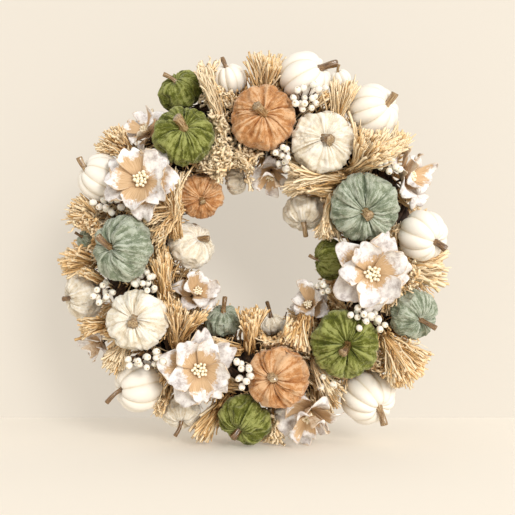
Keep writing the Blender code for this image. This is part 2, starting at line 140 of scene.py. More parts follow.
wall_y = MIDDLE[1] + WALL_BEHIND
floor_z = cad_box[0].z - FLOOR_BELOW
wall_paint = studio_paint("wall paint", colour(150, 145, 137), 0.50)
floor_paint = studio_paint("floor paint", colour(225, 219, 209), 0.20)
far = STUDIO_HALF
wall = [(-far, wall_y, floor_z), (far, wall_y, floor_z), (far, wall_y, far), (-far, wall_y, far)]
floor = [(-far, -far, floor_z), (far, -far, floor_z), (far, far, floor_z), (-far, far, floor_z)]
studio_sheet("wall", wall, wall_paint)
studio_sheet("floor", floor, floor_paint)


def hang_lamp(lamp, way, tint):
    """Places the lamp this way from the wreath's middle, shining back at it."""
    lamp.color = tint
    made = bpy.data.objects.new(lamp.name, lamp)
    bpy.context.scene.collection.objects.link(made)
    made.location = Vector(MIDDLE) + Vector(way)
    made.rotation_euler = (-Vector(way)).to_track_quat("-Z", "Y").to_euler()


def soft_box(name, way, width, watts):
    """Square area light of this width."""
    lamp = bpy.data.lights.new(name, "AREA")
    lamp.size = width
    lamp.energy = watts
    hang_lamp(lamp, way, DAYLIGHT)


soft_box("window light", (1.9, -1.5, 0.7), 1.5, 12)
soft_box("back light", (0.5, 1.8, 1.0), 1.4, 16)
sun = bpy.data.lights.new("softened sun", "SUN")
sun.energy = SUN_STRENGTH
sun.angle = SUN_SPREAD
hang_lamp(sun, (0.42, -1.0, 0.40), SUNLIGHT)
world = bpy.data.worlds.new("studio air")
bpy.context.scene.world = world
world.use_nodes = True
air = world.node_tree.nodes["Background"]
air.inputs["Color"].default_value = STUDIO_AIR
air.inputs["Strength"].default_value = AIR_STRENGTH

# ---------------------------------------------------------------------------------------------
# Vine ring: five hanks of thin dark vines laid up like rope round a core of the same vines.
# Each hank is a bundle of separate woody stems with bark, wound together while they are green.
# ---------------------------------------------------------------------------------------------

HANK_TURNS = 3  # turns of a hank round the rope in one lap of the ring
HANK_RADIUS = 0.013
VINES_PER_HANK = 8
VINE_TURNS = 11  # turns of a vine round its hank in one lap
VINE_RADIUS = 0.0041
CORE_RADIUS = 0.0125
LAP_STEPS = 230
VINE_COLUMNS, CORE_COLUMNS = 7, 10
FRONT = np.array([0.0, -1.0, 0.0])
BACK = np.array([0.0, 1.0, 0.0])


def clock_ways(clock, slope=0.0):
    """Unit ways at a clock angle in degrees seen from the front, tipped towards the front by slope."""
    turn, tip = np.radians(clock), np.radians(slope)
    flat = np.stack([np.sin(turn), 0 * turn, np.cos(turn)], -1)
    return flat * np.cos(tip)[..., None] + FRONT * np.sin(tip)[..., None]


def ring_points(lap, out, forward):
    """Points at a lap angle in radians round the ring, this far out from and in front of its middle line."""
    radial = np.stack([np.sin(lap), 0 * lap, np.cos(lap)], -1)
    return MIDDLE + radial * (RING + out)[..., None] + FRONT * forward[..., None]


def unit(ways):
    """Each way divided by its own length."""
    return ways / np.maximum(np.linalg.norm(ways, axis=-1, keepdims=True), 1e-12)


def tube_rings(paths, side, radii, columns, looped=False):
    """Rings of points round paths shaped (count, steps, 3): at each step the ring's plane is square to
    the path and the ring starts at side. side is one way or a way for each step, and radii is one
    radius or an array that broadcasts to (count, steps, columns)."""
    side = np.asarray(side)
    if looped:
        along = np.roll(paths, -1, axis=1) - np.roll(paths, 1, axis=1)
    else:
        along = np.gradient(paths, axis=1)
    along = unit(along)
    x = unit(side - along * (side * along).sum(-1, keepdims=True))
    y = np.cross(along, x)
    turn = np.linspace(0, 2 * np.pi, columns, endpoint=False)
    rims = x[:, :, None] * np.cos(turn)[:, None] + y[:, :, None] * np.sin(turn)[:, None]
    return paths[:, :, None] + rims * np.broadcast_to(radii, rims.shape[:3])[..., None]


def skin_faces(count, rows, columns, looped=False):
    """(faces, corner uv) of count skins of rows by columns points. Each row closes round itself; the
    last row meets the first when looped, and else both ends are closed by one face each."""
    last = rows if looped else rows - 1
    i, j = np.meshgrid(np.arange(last), np.arange(columns), indexing="ij")
    near, far = (j + 1) % columns, (i + 1) % rows
    quads = np.stack([i * columns + j, i * columns + near, far * columns + near, far * columns + j], -1)
    u, v = np.stack([j, j + 1, j + 1, j], -1) / columns, np.stack([i, i, i + 1, i + 1], -1) / last
    faces = [quads.reshape(-1, 4)]
    uv = [np.stack([u, v], -1).reshape(-1, 4, 2)]
    if not looped:
        ring = np.arange(columns)
        faces.append(np.stack([ring[::-1], ring + (rows - 1) * columns]))
        uv.append(np.stack([np.full((columns, 2), (0.5, 0.0)), np.full((columns, 2), (0.5, 1.0))]))
    shift = (np.arange(count) * rows * columns)[:, None, None]
    faces = [(f[None] + shift).reshape(-1, f.shape[1]) for f in faces]
    return faces, [np.tile(c, (count, 1, 1)) for c in uv]


def filled_mesh(name, points, faces):
    """Smooth mesh from points and a list of face arrays."""
    corners = np.concatenate([f.ravel() for f in faces]).astype(np.int32)
    sizes = np.concatenate([np.full(len(f), f.shape[1]) for f in faces])
    starts = np.concatenate([[0], np.cumsum(sizes)[:-1]]).astype(np.int32)
    mesh = bpy.data.meshes.new(name)
    mesh.vertices.add(len(points))
    mesh.vertices.foreach_set("co", points.astype(np.float32).ravel())
    mesh.loops.add(len(corners))
    mesh.loops.foreach_set("vertex_index", corners)
    mesh.polygons.add(len(sizes))
    mesh.polygons.foreach_set("loop_start", starts)
    mesh.polygons.foreach_set("use_smooth", np.ones(len(sizes), bool))
    mesh.update(calc_edges=True)
    return mesh


def add_piece(name, points, faces, uv, finishes, slot, body="wreath", tones=None):
    """Piece from points and lists of face arrays with their corner uv, riding on a body of the frame.
    tones gives each point a number from 0 to 1 for its finish to read."""
    points = points.reshape(-1, 3)
    mesh = filled_mesh(name, points, faces)
    corner_uv = np.concatenate([c.reshape(-1, 2) for c in uv]).astype(np.float32)
    mesh.uv_layers.new(name="UVMap").data.foreach_set("uv", corner_uv.ravel())
    if tones is not None:
        tone = mesh.attributes.new("tone", "FLOAT", "POINT")
        tone.data.foreach_set("value", np.broadcast_to(tones, len(points)).astype(np.float32))
    for finish in finishes:
        mesh.materials.append(finish)
    made = bpy.data.objects.new(name, mesh)
    bpy.context.scene.collection.objects.link(made)
    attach(made, body)
    return made


def coordinates(tree, source, scale=(1.0, 1.0, 1.0)):
    """A Mapping that scales Object or UV coordinates by (x, y, z)."""
    texture = tree.nodes.new("ShaderNodeTexCoord")
    mapping = tree.nodes.new("ShaderNodeMapping")
    mapping.inputs["Scale"].default_value = scale
    tree.links.new(texture.outputs[source], mapping.inputs["Vector"])
    return mapping.outputs["Vector"]


def noise(tree, where, scale, detail, roughness):
    """Cloudy pattern from 0 to 1 on these coordinates."""
    made = tree.nodes.new("ShaderNodeTexNoise")
    made.inputs["Scale"].default_value = scale
    made.inputs["Detail"].default_value = detail
    made.inputs["Roughness"].default_value = roughness
    tree.links.new(where, made.inputs["Vector"])
    return made.outputs["Fac"]


def streaked(tree, across, along, detail, roughness=0.55):
    """Cloudy pattern drawn out over the piece's own uv: so many features across it and along it."""
    return noise(tree, coordinates(tree, "UV", (across, along, 1.0)), 1.0, detail, roughness)


def speckled(tree, scale, detail, roughness=0.55):
    """Cloudy pattern in the piece's solid, with so many features to a metre each way."""
    return noise(tree, coordinates(tree, "Object"), scale, detail, roughness)


def ramp(tree, value, stops):
    """Colour ramp through stops of (place, linear colour)."""
    made = tree.nodes.new("ShaderNodeValToRGB")
    points = made.color_ramp.elements
    for _ in stops[2:]:
        points.new(0.5)
    for point, (place, shade) in zip(points, stops):
        point.position = place
        point.color = shade
    tree.links.new(value, made.inputs["Fac"])
    return made.outputs["Color"]


def shade_ramp(tree, value, stops):
    """Colour ramp through stops of (place, red, green, blue) in display values."""
    return ramp(tree, value, [(place, colour(*shade)) for place, *shade in stops])


def level_ramp(tree, value, stops):
    """Grey ramp through stops of (place, level), for an amount or a roughness."""
    return ramp(tree, value, [(place, (level, level, level, 1.0)) for place, level in stops])


def combine(tree, operation, first, second):
    """Math node of two values, either of which may be a number."""
    made = tree.nodes.new("ShaderNodeMath")
    made.operation = operation
    for socket, value in zip(made.inputs, (first, second)):
        if isinstance(value, (int, float)):
            socket.default_value = value
        else:
            tree.links.new(value, socket)
    return made.outputs["Value"]


def weighed(tree, *parts):
    """Sum of values times their weights, from (value, weight) pairs."""
    total = None
    for value, weight in parts:
        if weight != 1.0:
            value = combine(tree, "MULTIPLY", value, weight)
        total = value if total is None else combine(tree, "ADD", total, value)
    return total


def blend_colours(tree, amount, first, second):
    """Mix of two colours, the first where the amount is 0 and the second where it is 1."""
    made = tree.nodes.new("ShaderNodeMix")
    made.data_type = "RGBA"
    tree.links.new(amount, made.inputs[0])
    for socket, value in ((made.inputs[6], first), (made.inputs[7], second)):
        if isinstance(value, tuple):
            socket.default_value = value
        else:
            tree.links.new(value, socket)
    return made.outputs[2]


def raise_surface(tree, shader, height, depth, strength=1.0):
    """Bump on the shader: height from 0 to 1 stands for depth in metres."""
    bump = tree.nodes.new("ShaderNodeBump")
    bump.inputs["Strength"].default_value = strength
    bump.inputs["Distance"].default_value = depth
    tree.links.new(height, bump.inputs["Height"])
    tree.links.new(bump.outputs["Normal"], shader.inputs["Normal"])


def blend_of(first, second):
    """The colour halfway between two."""
    return tuple((a + b) / 2 for a, b in zip(first, second))


def tone_of(tree):
    """The number that add_piece gave each point of the piece."""
    made = tree.nodes.new("ShaderNodeAttribute")
    made.attribute_name = "tone"
    return made.outputs["Fac"]


def bark_finish():
    """Dark brown bark: long pale and dark streaks, with a few grey flakes, and deep furrows."""
    bark, tree, shader = new_finish("vine bark", colour(62, 45, 33), 0.85)
    streaks = streaked(tree, 6.0, 260.0, 4.0)
    flakes = speckled(tree, 210.0, 3.0)
    mixed = weighed(tree, (streaks, 0.55), (flakes, 0.25))
    toned = weighed(tree, (mixed, 1.0), (tone_of(tree), 0.22))
    stops = [(0.30, 24, 17, 13), (0.48, 58, 41, 29), (0.62, 92, 68, 48), (0.78, 139, 112, 84)]
    tree.links.new(shade_ramp(tree, toned, stops), shader.inputs["Base Color"])
    raise_surface(tree, shader, mixed, 0.0011, 0.9)
    return bark


bark = bark_finish()


def hank_vines(hank, rng):
    """Closed middle lines of one hank's vines. Across the bundle each runs on a circle of VINE_TURNS
    turns a lap round the hank's own line, which itself runs HANK_TURNS turns a lap round the bundle."""
    lap = np.linspace(0, 2 * np.pi, LAP_STEPS, endpoint=False)[None]
    strand = np.arange(VINES_PER_HANK)[:, None]
    turn = HANK_TURNS * lap + 2 * np.pi * hank / len(HANKS)
    inner = HANK_TURNS * lap + VINE_TURNS * lap + 2 * np.pi * strand / VINES_PER_HANK
    each = (VINES_PER_HANK, 1)
    sway = sum(
        rng.normal(0, 0.34 / k, each) * np.sin(k * lap + rng.uniform(0, 7, each)) for k in (2, 5, 9)
    )
    reach = (HANK_RADIUS - VINE_RADIUS) * (1 + 0.12 * sway)
    offset = BUNDLE - HANK_RADIUS
    out = offset * np.cos(turn) + reach * np.cos(inner + sway)
    forward = offset * np.sin(turn) + reach * np.sin(inner + sway)
    side = ring_points(lap, out + np.cos(inner), forward + np.sin(inner)) - ring_points(lap, out, forward)
    return ring_points(lap, out, forward), side


whole_lap = np.linspace(0, 2 * np.pi, LAP_STEPS, endpoint=False)
rng = np.random.default_rng(11)
for hank, node in enumerate(HANKS):
    lines, side = hank_vines(hank, rng)
    knots = 1 + 0.16 * np.sin(rng.uniform(0, 7, (VINES_PER_HANK, 1)) + 29 * whole_lap)
    radii = VINE_RADIUS * knots * rng.uniform(0.72, 1.05, (VINES_PER_HANK, 1))
    skin = tube_rings(lines, side, radii[..., None], VINE_COLUMNS, looped=True)
    faces, uv = skin_faces(VINES_PER_HANK, LAP_STEPS, VINE_COLUMNS, looped=True)
    tones = np.repeat(rng.uniform(0, 1, VINES_PER_HANK), LAP_STEPS * VINE_COLUMNS)
    vines = add_piece(f"vines_{hank + 1}", skin, faces, uv, [bark], "vine", tones=tones)
    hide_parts(node)

lap = whole_lap[None]
core_line = ring_points(lap, 0 * lap, 0 * lap)
core_side = ring_points(lap, 1 + 0 * lap, 0 * lap) - core_line
core = tube_rings(core_line, core_side, CORE_RADIUS, CORE_COLUMNS, looped=True)
faces, uv = skin_faces(1, LAP_STEPS, CORE_COLUMNS, looped=True)
add_piece("vine_core", core, faces, uv, [bark], "vine", tones=0.1)

# ---------------------------------------------------------------------------------------------
# Hanger: two soft steel wires bound round the ring behind its top, each twisted into an eye, and
# a stiff wire loop whose in-turned ends turn in the eyes, so that it stands up or folds down.
# ---------------------------------------------------------------------------------------------

BIND_WIRE, EYE_WIRE, TWIST_WIRE, LOOP_WIRE = 0.0010, 0.0011, 0.0009, 0.0014  # radii
BAND_GAP = 0.0006  # from the rope of hanks to the wire round it
EYE_RADIUS = 0.0032
EYE_OUT = 0.014  # from the wreath's middle to each eye
TWIST_RADIUS, TWIST_TURNS, TWIST_LENGTH = 0.0011, 3.5, 0.011
TWIST_UNDER_EYE = np.array([0.0, -0.0030, -0.0045])
PIN_END, BEND = 0.0070, 0.0030  # the loop's ends from the middle, and the radius of its bends
BAND_STEPS, EYE_STEPS, TWIST_STEPS = 140, 44, 60
WIRE_COLUMNS, TWIST_COLUMNS = 12, 8


def wire_finish():
    """Drawn steel: grey metal with faint draw lines along it and duller patches."""
    steel, tree, shader = new_finish("hanger wire", colour(150, 147, 142), 0.35)
    shader.inputs["Metallic"].default_value = 1.0
    lines = streaked(tree, 40.0, 6.0, 3.0)
    patches = speckled(tree, 300.0, 2.0)
    greys = shade_ramp(tree, patches, [(0.3, 112, 108, 102), (0.7, 176, 173, 168)])
    tree.links.new(greys, shader.inputs["Base Color"])
    dullness = level_ramp(tree, lines, [(0.2, 0.22), (0.8, 0.48)])
    tree.links.new(dullness, shader.inputs["Roughness"])
    raise_surface(tree, shader, lines, 0.00005, 0.5)
    return steel


steel = wire_finish()
hinge = np.array(next(j for j in frame["joints"] if j["name"] == "loop_hinge")["pos_m"])


def wire_ring(middle, x, y, radius, wire, steps):
    """(points, faces, uv) of a closed ring of wire about a middle, in the plane of x and y."""
    turn = np.linspace(0, 2 * np.pi, steps, endpoint=False)[None, :, None]
    line = middle + radius * (np.cos(turn) * x + np.sin(turn) * y)
    skin = tube_rings(line, np.cross(x, y), wire, WIRE_COLUMNS, looped=True)
    return skin, *skin_faces(1, steps, WIRE_COLUMNS, looped=True)


def wire_twist(top, phase):
    """(points, faces, uv) of one of two wires twisted together: a helix down from top."""
    t = np.linspace(0, 1, TWIST_STEPS)[None]
    twist = 2 * np.pi * TWIST_TURNS * t + phase
    run = [TWIST_RADIUS * np.cos(twist), TWIST_RADIUS * np.sin(twist), -TWIST_LENGTH * t]
    skin = tube_rings(top + np.stack(run, -1), BACK, TWIST_WIRE, TWIST_COLUMNS)
    return skin, *skin_faces(1, TWIST_STEPS, TWIST_COLUMNS)


def joined(*shapes):
    """One (points, faces, uv) from several, where the faces of each count from its own first point."""
    points, faces, uv, start = [], [], [], 0
    for skin, more, more_uv in shapes:
        points.append(skin.reshape(-1, 3))
        faces += [f + start for f in more]
        uv += more_uv
        start += len(points[-1])
    return np.concatenate(points), faces, uv


for side_name, sign in (("left", -1), ("right", 1)):
    eye_middle = np.array([sign * EYE_OUT, hinge[1], hinge[2]])
    lap = math.asin(eye_middle[0] / RING)
    radial = np.array([math.sin(lap), 0.0, math.cos(lap)])
    band_radius = BUNDLE + BAND_GAP + BIND_WIRE
    points, faces, uv = joined(
        wire_ring(MIDDLE + radial * RING, radial, BACK, band_radius, BIND_WIRE, BAND_STEPS),
        wire_ring(eye_middle, BACK, np.array([0.0, 0.0, 1.0]), EYE_RADIUS, EYE_WIRE, EYE_STEPS),
        wire_twist(eye_middle + TWIST_UNDER_EYE, 0.0),
        wire_twist(eye_middle + TWIST_UNDER_EYE, math.pi),
    )
    band_wire = add_piece(f"binding_wire_{side_name}", points, faces, uv, [steel], "wire")
    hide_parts(f"hanger_wire_{side_name}")

loop_low, loop_high = (np.array(corner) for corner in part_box("hanging_loop"))
half_width = (loop_high[0] - loop_low[0]) / 2 - LOOP_WIRE
arch_foot = loop_high[2] - LOOP_WIRE - half_width - hinge[2]
turn = np.linspace(0, np.pi, 60)
arch = np.stack([half_width * np.cos(turn), 0 * turn, arch_foot + half_width * np.sin(turn)], -1)
turn = np.linspace(-np.pi / 2, 0, 12)
bend = np.stack([half_width - BEND + BEND * np.cos(turn), 0 * turn, BEND + BEND * np.sin(turn)], -1)
pin = np.stack([np.linspace(PIN_END, half_width - BEND, 6)[:-1], np.zeros(5), np.zeros(5)], -1)
leg = np.stack([np.full(5, half_width), np.zeros(5), np.linspace(BEND, arch[0, 2], 7)[1:-1]], -1)
right_half = np.concatenate([pin, bend, leg])
left_half = right_half[::-1] * np.array([-1, 1, 1])
wire_line = np.concatenate([right_half, arch, left_half]) + hinge
skin = tube_rings(wire_line[None], BACK, LOOP_WIRE, WIRE_COLUMNS)
faces, uv = skin_faces(1, len(wire_line), WIRE_COLUMNS)
loop = add_piece("hanger_bail", skin, faces, uv, [steel], "wire", body="hanging_loop")
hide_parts("hanging_loop")

# ---------------------------------------------------------------------------------------------
# Stuffed pumpkins: a disc of crushed velvet gathered round its edge, filled with polyester and
# drawn in from stem to base, so that it bulges in soft lobes with pleats running out of the top.
# ---------------------------------------------------------------------------------------------

PROUD = 1.015  # an ornament's width over its solid's
VELVET_PLUMPNESS = 0.64  # height over width, stem left off
VELVET_STEM_ROOT = 0.50  # height at which the stem starts, as a share of half the height
SEAM_COLUMNS = 14  # columns of points from one drawn-in seam to the next
VELVET_ROWS = 56
CLOTH_SIZE = 0.25  # the blanks are stuffed at this half width, then brought to size
CLOTH_FRAMES = 22
HELD_CREASE, HELD_ROWS = 0.985, 5  # creases over this and this many rows at each end stay put

# Node, lean of the stem end away from the front, clock of that lean, clock the stem bends to,
# stem length and width in millimetres, blank.
VELVET_PUMPKINS = {
    "green_velvet": [
        ("pumpkin_green_top", 60, 333, 288, 18, 4.5, 1),
        ("pumpkin_green_upper_left", 22, 15, 308, 20, 9, 0),
        ("pumpkin_green_right_inner", 80, 265, 282, 14, 3.5, 2),
        ("pumpkin_green_lower_right", 3, 90, 219, 20, 8.5, 2),
        ("pumpkin_green_bottom", 46, 219, 221, 14, 7, 1),
    ],
    "orange_velvet": [
        ("pumpkin_orange_top", 10, 30, 302, 20, 9, 2),
        ("pumpkin_orange_bottom", 20, 262, 37, 8, 11, 0),
        ("pumpkin_orange_inner_left", 10, 163, 158, 8, 6, 1),
    ],
    "cream_velvet": [
        ("pumpkin_cream_top", 5, 60, 116, 12, 11, 1),
        ("pumpkin_cream_lower_left", 15, 325, 169, 14, 10, 0),
        ("pumpkin_cream_left", 65, 262, 262, 12, 5, 2),
        ("pumpkin_cream_bottom", 50, 174, 218, 20, 4, 1),
        ("pumpkin_cream_inner_left", 55, 50, 112, 15, 6, 2),
        ("pumpkin_cream_inner_top", 80, 80, 188, 20, 4, 0),
        ("pumpkin_cream_inner_right", 60, 182, 174, 18, 5, 1),
        ("pumpkin_cream_inner_bottom", 75, 350, 349, 20, 4, 2),
    ],
    "sage_velvet": [
        ("pumpkin_sage_right", 15, 193, 127, 12, 10, 0),
        ("pumpkin_sage_lower_right", 35, 122, 122, 22, 5, 1),
        ("pumpkin_sage_left", 40, 277, 333, 24, 6.5, 2),
        ("pumpkin_sage_inner_bottom", 65, 356, 3, 19, 5, 0),
    ],
}


def node_triangles(name):
    """Corners of a CAD node's triangles, shaped (count, 3, 3)."""
    mesh = frame["nodes"][name].data
    points = np.empty(len(mesh.vertices) * 3, np.float32)
    mesh.vertices.foreach_get("co", points)
    mesh.calc_loop_triangles()
    corners = np.empty(len(mesh.loop_triangles) * 3, np.int32)
    mesh.loop_triangles.foreach_get("vertices", corners)
    return points.reshape(-1, 3).astype(float)[corners.reshape(-1, 3)]


def facing(lean, lean_clock, side_clock):
    """Rows x, y, z: z leans from the front towards one clock direction, x points towards another."""
    axis = clock_ways(lean_clock, 90.0 - lean)
    side = clock_ways(side_clock)
    side = unit(side - axis * (side @ axis))
    return np.stack([side, np.cross(axis, side), axis])


def measured(name, turned):
    """(middle, width) of an ornament of the frame. Its middle is its solid's centre of volume, and its
    half width the middle one of its four extents across its axis, which leaves out stem and pick."""
    corners = node_triangles(name)
    volumes = np.einsum("ij,ij->i", corners[:, 0], np.cross(corners[:, 1], corners[:, 2]))
    middle = (corners.sum(1) * volumes[:, None]).sum(0) / (4 * volumes.sum())
    local = (corners.reshape(-1, 3) - middle) @ turned.T
    extents = np.abs([local[:, 0].min(), local[:, 0].max(), local[:, 1].min(), local[:, 1].max()])
    return middle, 2 * float(np.sort(extents)[1:3].mean())


def velvet_blank(seams, seed):
    """Half width 1. Height is cos of the fall and radius its sine to the power 0.82; both ends dish in.
    The crease is 1 at a seam and 0 on a lobe's crown, and draws the skin in most near the ends."""
    rng = np.random.default_rng(seed)
    columns = seams * SEAM_COLUMNS
    fall = np.linspace(0.035, 0.965, VELVET_ROWS)[:, None] * np.pi
    turn = np.linspace(0, 2 * np.pi, columns, endpoint=False)[None]
    wander = 0.26 * np.sin(2 * turn + seed) + 0.12 * np.sin(3 * turn + 2 * seed)
    crease = 1 - np.abs(np.sin(seams * turn / 2)) ** 0.62
    ends = np.abs(np.cos(fall))
    lopsided = 1 + 0.035 * np.sin(turn + seed) + 0.02 * np.sin(2 * turn + 3 * seed)
    radius = np.sin(fall) ** 0.82 * (1 - (0.035 + 0.15 * ends**2) * crease) * lopsided
    height = VELVET_PLUMPNESS * np.cos(fall) * (1 - 0.10 * crease * ends)
    height -= np.sign(np.cos(fall)) * 0.30 * VELVET_PLUMPNESS * np.exp(-((radius / 0.26) ** 2))
    angle = turn + wander / 2 + 0 * fall
    return np.stack([radius * np.cos(angle), radius * np.sin(angle), height], -1), crease + 0 * fall, rng


def stuffed(name, points, crease):
    """The blank after a cloth simulation: seams and both ends are held, the cloth is a tenth too large
    and the filling presses outwards, so each lobe swells and its spare cloth wrinkles."""
    rows, columns = points.shape[:2]
    faces, _ = skin_faces(1, rows, columns)
    mesh = filled_mesh(name, (points * CLOTH_SIZE).reshape(-1, 3), faces)
    blank = bpy.data.objects.new(name, mesh)
    bpy.context.scene.collection.objects.link(blank)
    held = blank.vertex_groups.new(name="held")
    fixed = crease > HELD_CREASE
    fixed[:HELD_ROWS] = fixed[-HELD_ROWS:] = True
    held.add(np.flatnonzero(fixed.ravel()).tolist(), 1.0, "REPLACE")
    cloth = blank.modifiers.new("stuffing", "CLOTH")
    stuffing = cloth.settings
    stuffing.vertex_group_mass = "held"
    stuffing.quality = 6
    stuffing.mass = 0.3
    stuffing.tension_stiffness = 12
    stuffing.compression_stiffness = 8
    stuffing.shear_stiffness = 4
    stuffing.bending_stiffness = 0.35
    stuffing.shrink_min = -0.10
    stuffing.use_pressure = True
    stuffing.uniform_pressure_force = 2.2
    stuffing.effector_weights.gravity = 0.0
    cloth.collision_settings.use_collision = False
    for moment in range(1, CLOTH_FRAMES + 1):
        bpy.context.scene.frame_set(moment)
    shaped = blank.evaluated_get(bpy.context.evaluated_depsgraph_get()).data
    result = np.empty(rows * columns * 3, np.float32)
    shaped.vertices.foreach_get("co", result)
    bpy.data.objects.remove(blank)
    bpy.context.scene.frame_set(1)
    return result.reshape(points.shape).astype(float) / CLOTH_SIZE


def ends_weight(fall):
    """1 at either end of the pumpkin and 0 round its middle, for a fall from 0 to 1."""
    return np.cos(np.pi * fall) ** 2


def pleated(points, crease, rng):
    """(points, tone from 0 to 1 that is painted light and shade: lighter where the pleats and dents stand
    out, a painted highlight, and darker in the seams' creases, most towards both ends, painted shade). Pleats
    are a sum of cosines of 14 to 41 waves round the stem that fade out below the lobes' crowns, with slow
    dents all over from uneven filling."""
    rows, columns = points.shape[:2]
    fall = np.linspace(0.0, 1.0, rows)[:, None]
    turn = np.linspace(0, 2 * np.pi, columns, endpoint=False)[None]
    waves = np.arange(14, 42)[:, None, None]
    drift = rng.normal(0, 0.9, waves.shape) * fall[None] * 2
    folds = np.cos(waves * turn[None] + rng.uniform(0, 7, waves.shape) + drift)
    pleats = (folds * rng.normal(0, 1, waves.shape)).sum(0) / 5.3
    reach = np.exp(-((fall / 0.40) ** 2)) + 0.7 * np.exp(-(((1 - fall) / 0.3) ** 2)) + 0.14
    dents = sum(
        rng.normal(0, 0.5)
        * np.sin(k * turn + rng.uniform(0, 7))
        * np.sin(m * np.pi * fall + rng.uniform(0, 7))
        for k, m in ((1, 1), (2, 2), (3, 1), (5, 3), (4, 2), (7, 4))
    )
    across = np.roll(points, -1, axis=1) - np.roll(points, 1, axis=1)
    down = np.gradient(points, axis=0)
    outward = -unit(np.cross(across, down))
    outward *= np.sign((outward * points).sum(-1, keepdims=True) + 1e-9)
    width = np.linalg.norm(points[..., :2], axis=-1)
    fade = np.clip(width / 0.30, 0.12, 1)
    lift = 0.019 * pleats * reach * fade + 0.016 * dents
    # Painted light and shade: lighter on the pleats' ridges and the dents that stand out, a painted
    # highlight, and darker in the seams' creases, painted shade.
    shade = 0.5 + 0.20 * pleats * reach - 0.20 * crease**2 * (0.4 + ends_weight(fall)) + 0.05 * dents
    return points + outward * lift[..., None], np.clip(shade, 0, 1)


def velvet_finish(name, deep, mid, pale, sheen, frost):
    """Crushed velvet: pile that lies this way and that in cloudy patches, with a painted highlight on the
    ridges of the pleats and painted shade in the creases, both from the tone, thin pale lines of bent pile
    that run out from the stem, flecks of single tufts, and a sheen at grazing angles. frost is how strong the
    pale lines are."""
    velvet, tree, shader = new_finish(name, mid, 0.9)
    shader.inputs["Specular IOR Level"].default_value = 0.12
    shader.inputs["Sheen Weight"].default_value = 0.55
    shader.inputs["Sheen Roughness"].default_value = 0.38
    shader.inputs["Sheen Tint"].default_value = sheen
    clouds = speckled(tree, 62.0, 4.0, 0.62)
    brushed = streaked(tree, 52.0, 9.0, 4.0, 0.7)
    flecks = speckled(tree, 1500.0, 2.0, 0.8)
    # The tone brings in painted highlight on the pleats' ridges and painted shade in the creases.
    pile = weighed(tree, (clouds, 0.62), (brushed, 0.42), (flecks, 0.46), (tone_of(tree), 0.42))
    shades = ramp(tree, pile, [(0.74, deep), (0.96, mid), (1.0, blend_of(mid, pale))])
    lines = streaked(tree, 120.0, 6.0, 3.0, 0.55)
    lines = level_ramp(tree, lines, [(0.54, 0.0), (0.70, frost)])
    tree.links.new(blend_colours(tree, lines, shades, pale), shader.inputs["Base Color"])
    raise_surface(tree, shader, combine(tree, "ADD", flecks, brushed), 0.0007, 0.6)
    return velvet


# Slot, name, deep, middle and pale shades, tint of the sheen, strength of the pale lines. The deep and pale
# shades are the dye's own and also serve as painted shade in the creases and painted highlight on the pleats'
# ridges.
VELVET_DYES_AND_PAINTED_SHADE = [
    ("green_velvet", "olive", (44, 50, 18), (104, 108, 46), (186, 190, 120), (0.84, 0.86, 0.55), 0.42),
    ("orange_velvet", "rust", (142, 88, 48), (200, 144, 94), (238, 206, 168), (1.0, 0.86, 0.72), 0.5),
    ("cream_velvet", "ivory", (204, 186, 156), (240, 230, 209), (253, 250, 244), (1.0, 0.98, 0.95), 0.6),
    ("sage_velvet", "sage", (84, 94, 74), (138, 147, 124), (214, 219, 204), (0.92, 0.96, 0.88), 0.75),
]
VELVETS = {
    slot: velvet_finish(f"{name} velvet", colour(*deep), colour(*mid), colour(*pale), (*sheen, 1.0), frost)
    for slot, name, deep, mid, pale, sheen, frost in VELVET_DYES_AND_PAINTED_SHADE
}


def wood_finish():
    """Dried stem: brown wood with dark and pale streaks along its ridges, a varnished gleam, and a
    paler sawn end."""
    wood, tree, shader = new_finish("stem wood", colour(112, 84, 54), 0.22)
    shader.inputs["Coat Weight"].default_value = 0.7
    shader.inputs["Coat Roughness"].default_value = 0.12
    streaks = streaked(tree, 16.0, 2.2, 4.0, 0.65)
    flecks = speckled(tree, 700.0, 2.0)
    grain = weighed(tree, (streaks, 0.8), (flecks, 0.2))
    toned = weighed(tree, (grain, 1.0), (tone_of(tree), 0.18))
    stops = [(0.36, 44, 30, 19), (0.50, 90, 64, 40), (0.62, 136, 104, 68), (0.78, 198, 172, 130)]
    side = shade_ramp(tree, toned, stops)
    along = tree.nodes.new("ShaderNodeSeparateXYZ")
    tree.links.new(coordinates(tree, "UV"), along.inputs["Vector"])
    sawn = combine(tree, "GREATER_THAN", along.outputs["Y"], 0.985)
    end = shade_ramp(tree, flecks, [(0.35, 112, 84, 56), (0.65, 190, 164, 124)])
    tree.links.new(blend_colours(tree, sawn, side, end), shader.inputs["Base Color"])
    raise_surface(tree, shader, grain, 0.0007, 0.8)
    return wood


stem_wood = wood_finish()
STEM_ROWS, STEM_COLUMNS = 26, 24


def stem_skin(root, length, width, seed):
    """Stem from a root height on the axis, rising and bending to local x. Its radius flares at the root
    and a little at the sawn end, and six ridges twist round it."""
    rng = np.random.default_rng(seed)
    t = np.linspace(0, 1, STEM_ROWS)
    bow = 0.55 * length * t**2
    sway = 0.04 * length * np.sin(3.2 * t + rng.uniform(0, 6))
    line = np.stack([bow, sway * t, root + (0.8 * length + 0.004) * t], -1)[None]
    girth = 0.52 + 0.46 * np.exp(-((t / 0.22) ** 2)) + 0.09 * t**3 + 0.02 * np.sin(9 * t)
    girth = np.concatenate([girth[:-1], girth[-1:] * 0.94])
    turn = np.linspace(0, 2 * np.pi, STEM_COLUMNS, endpoint=False)
    t = t[:, None]
    ridges = 1 + (0.11 - 0.03 * t) * np.cos(6 * turn + 1.6 * t + seed) + 0.03 * np.cos(3 * turn + seed)
    return tube_rings(line, BACK, (width * girth[:, None] * ridges)[None], STEM_COLUMNS)


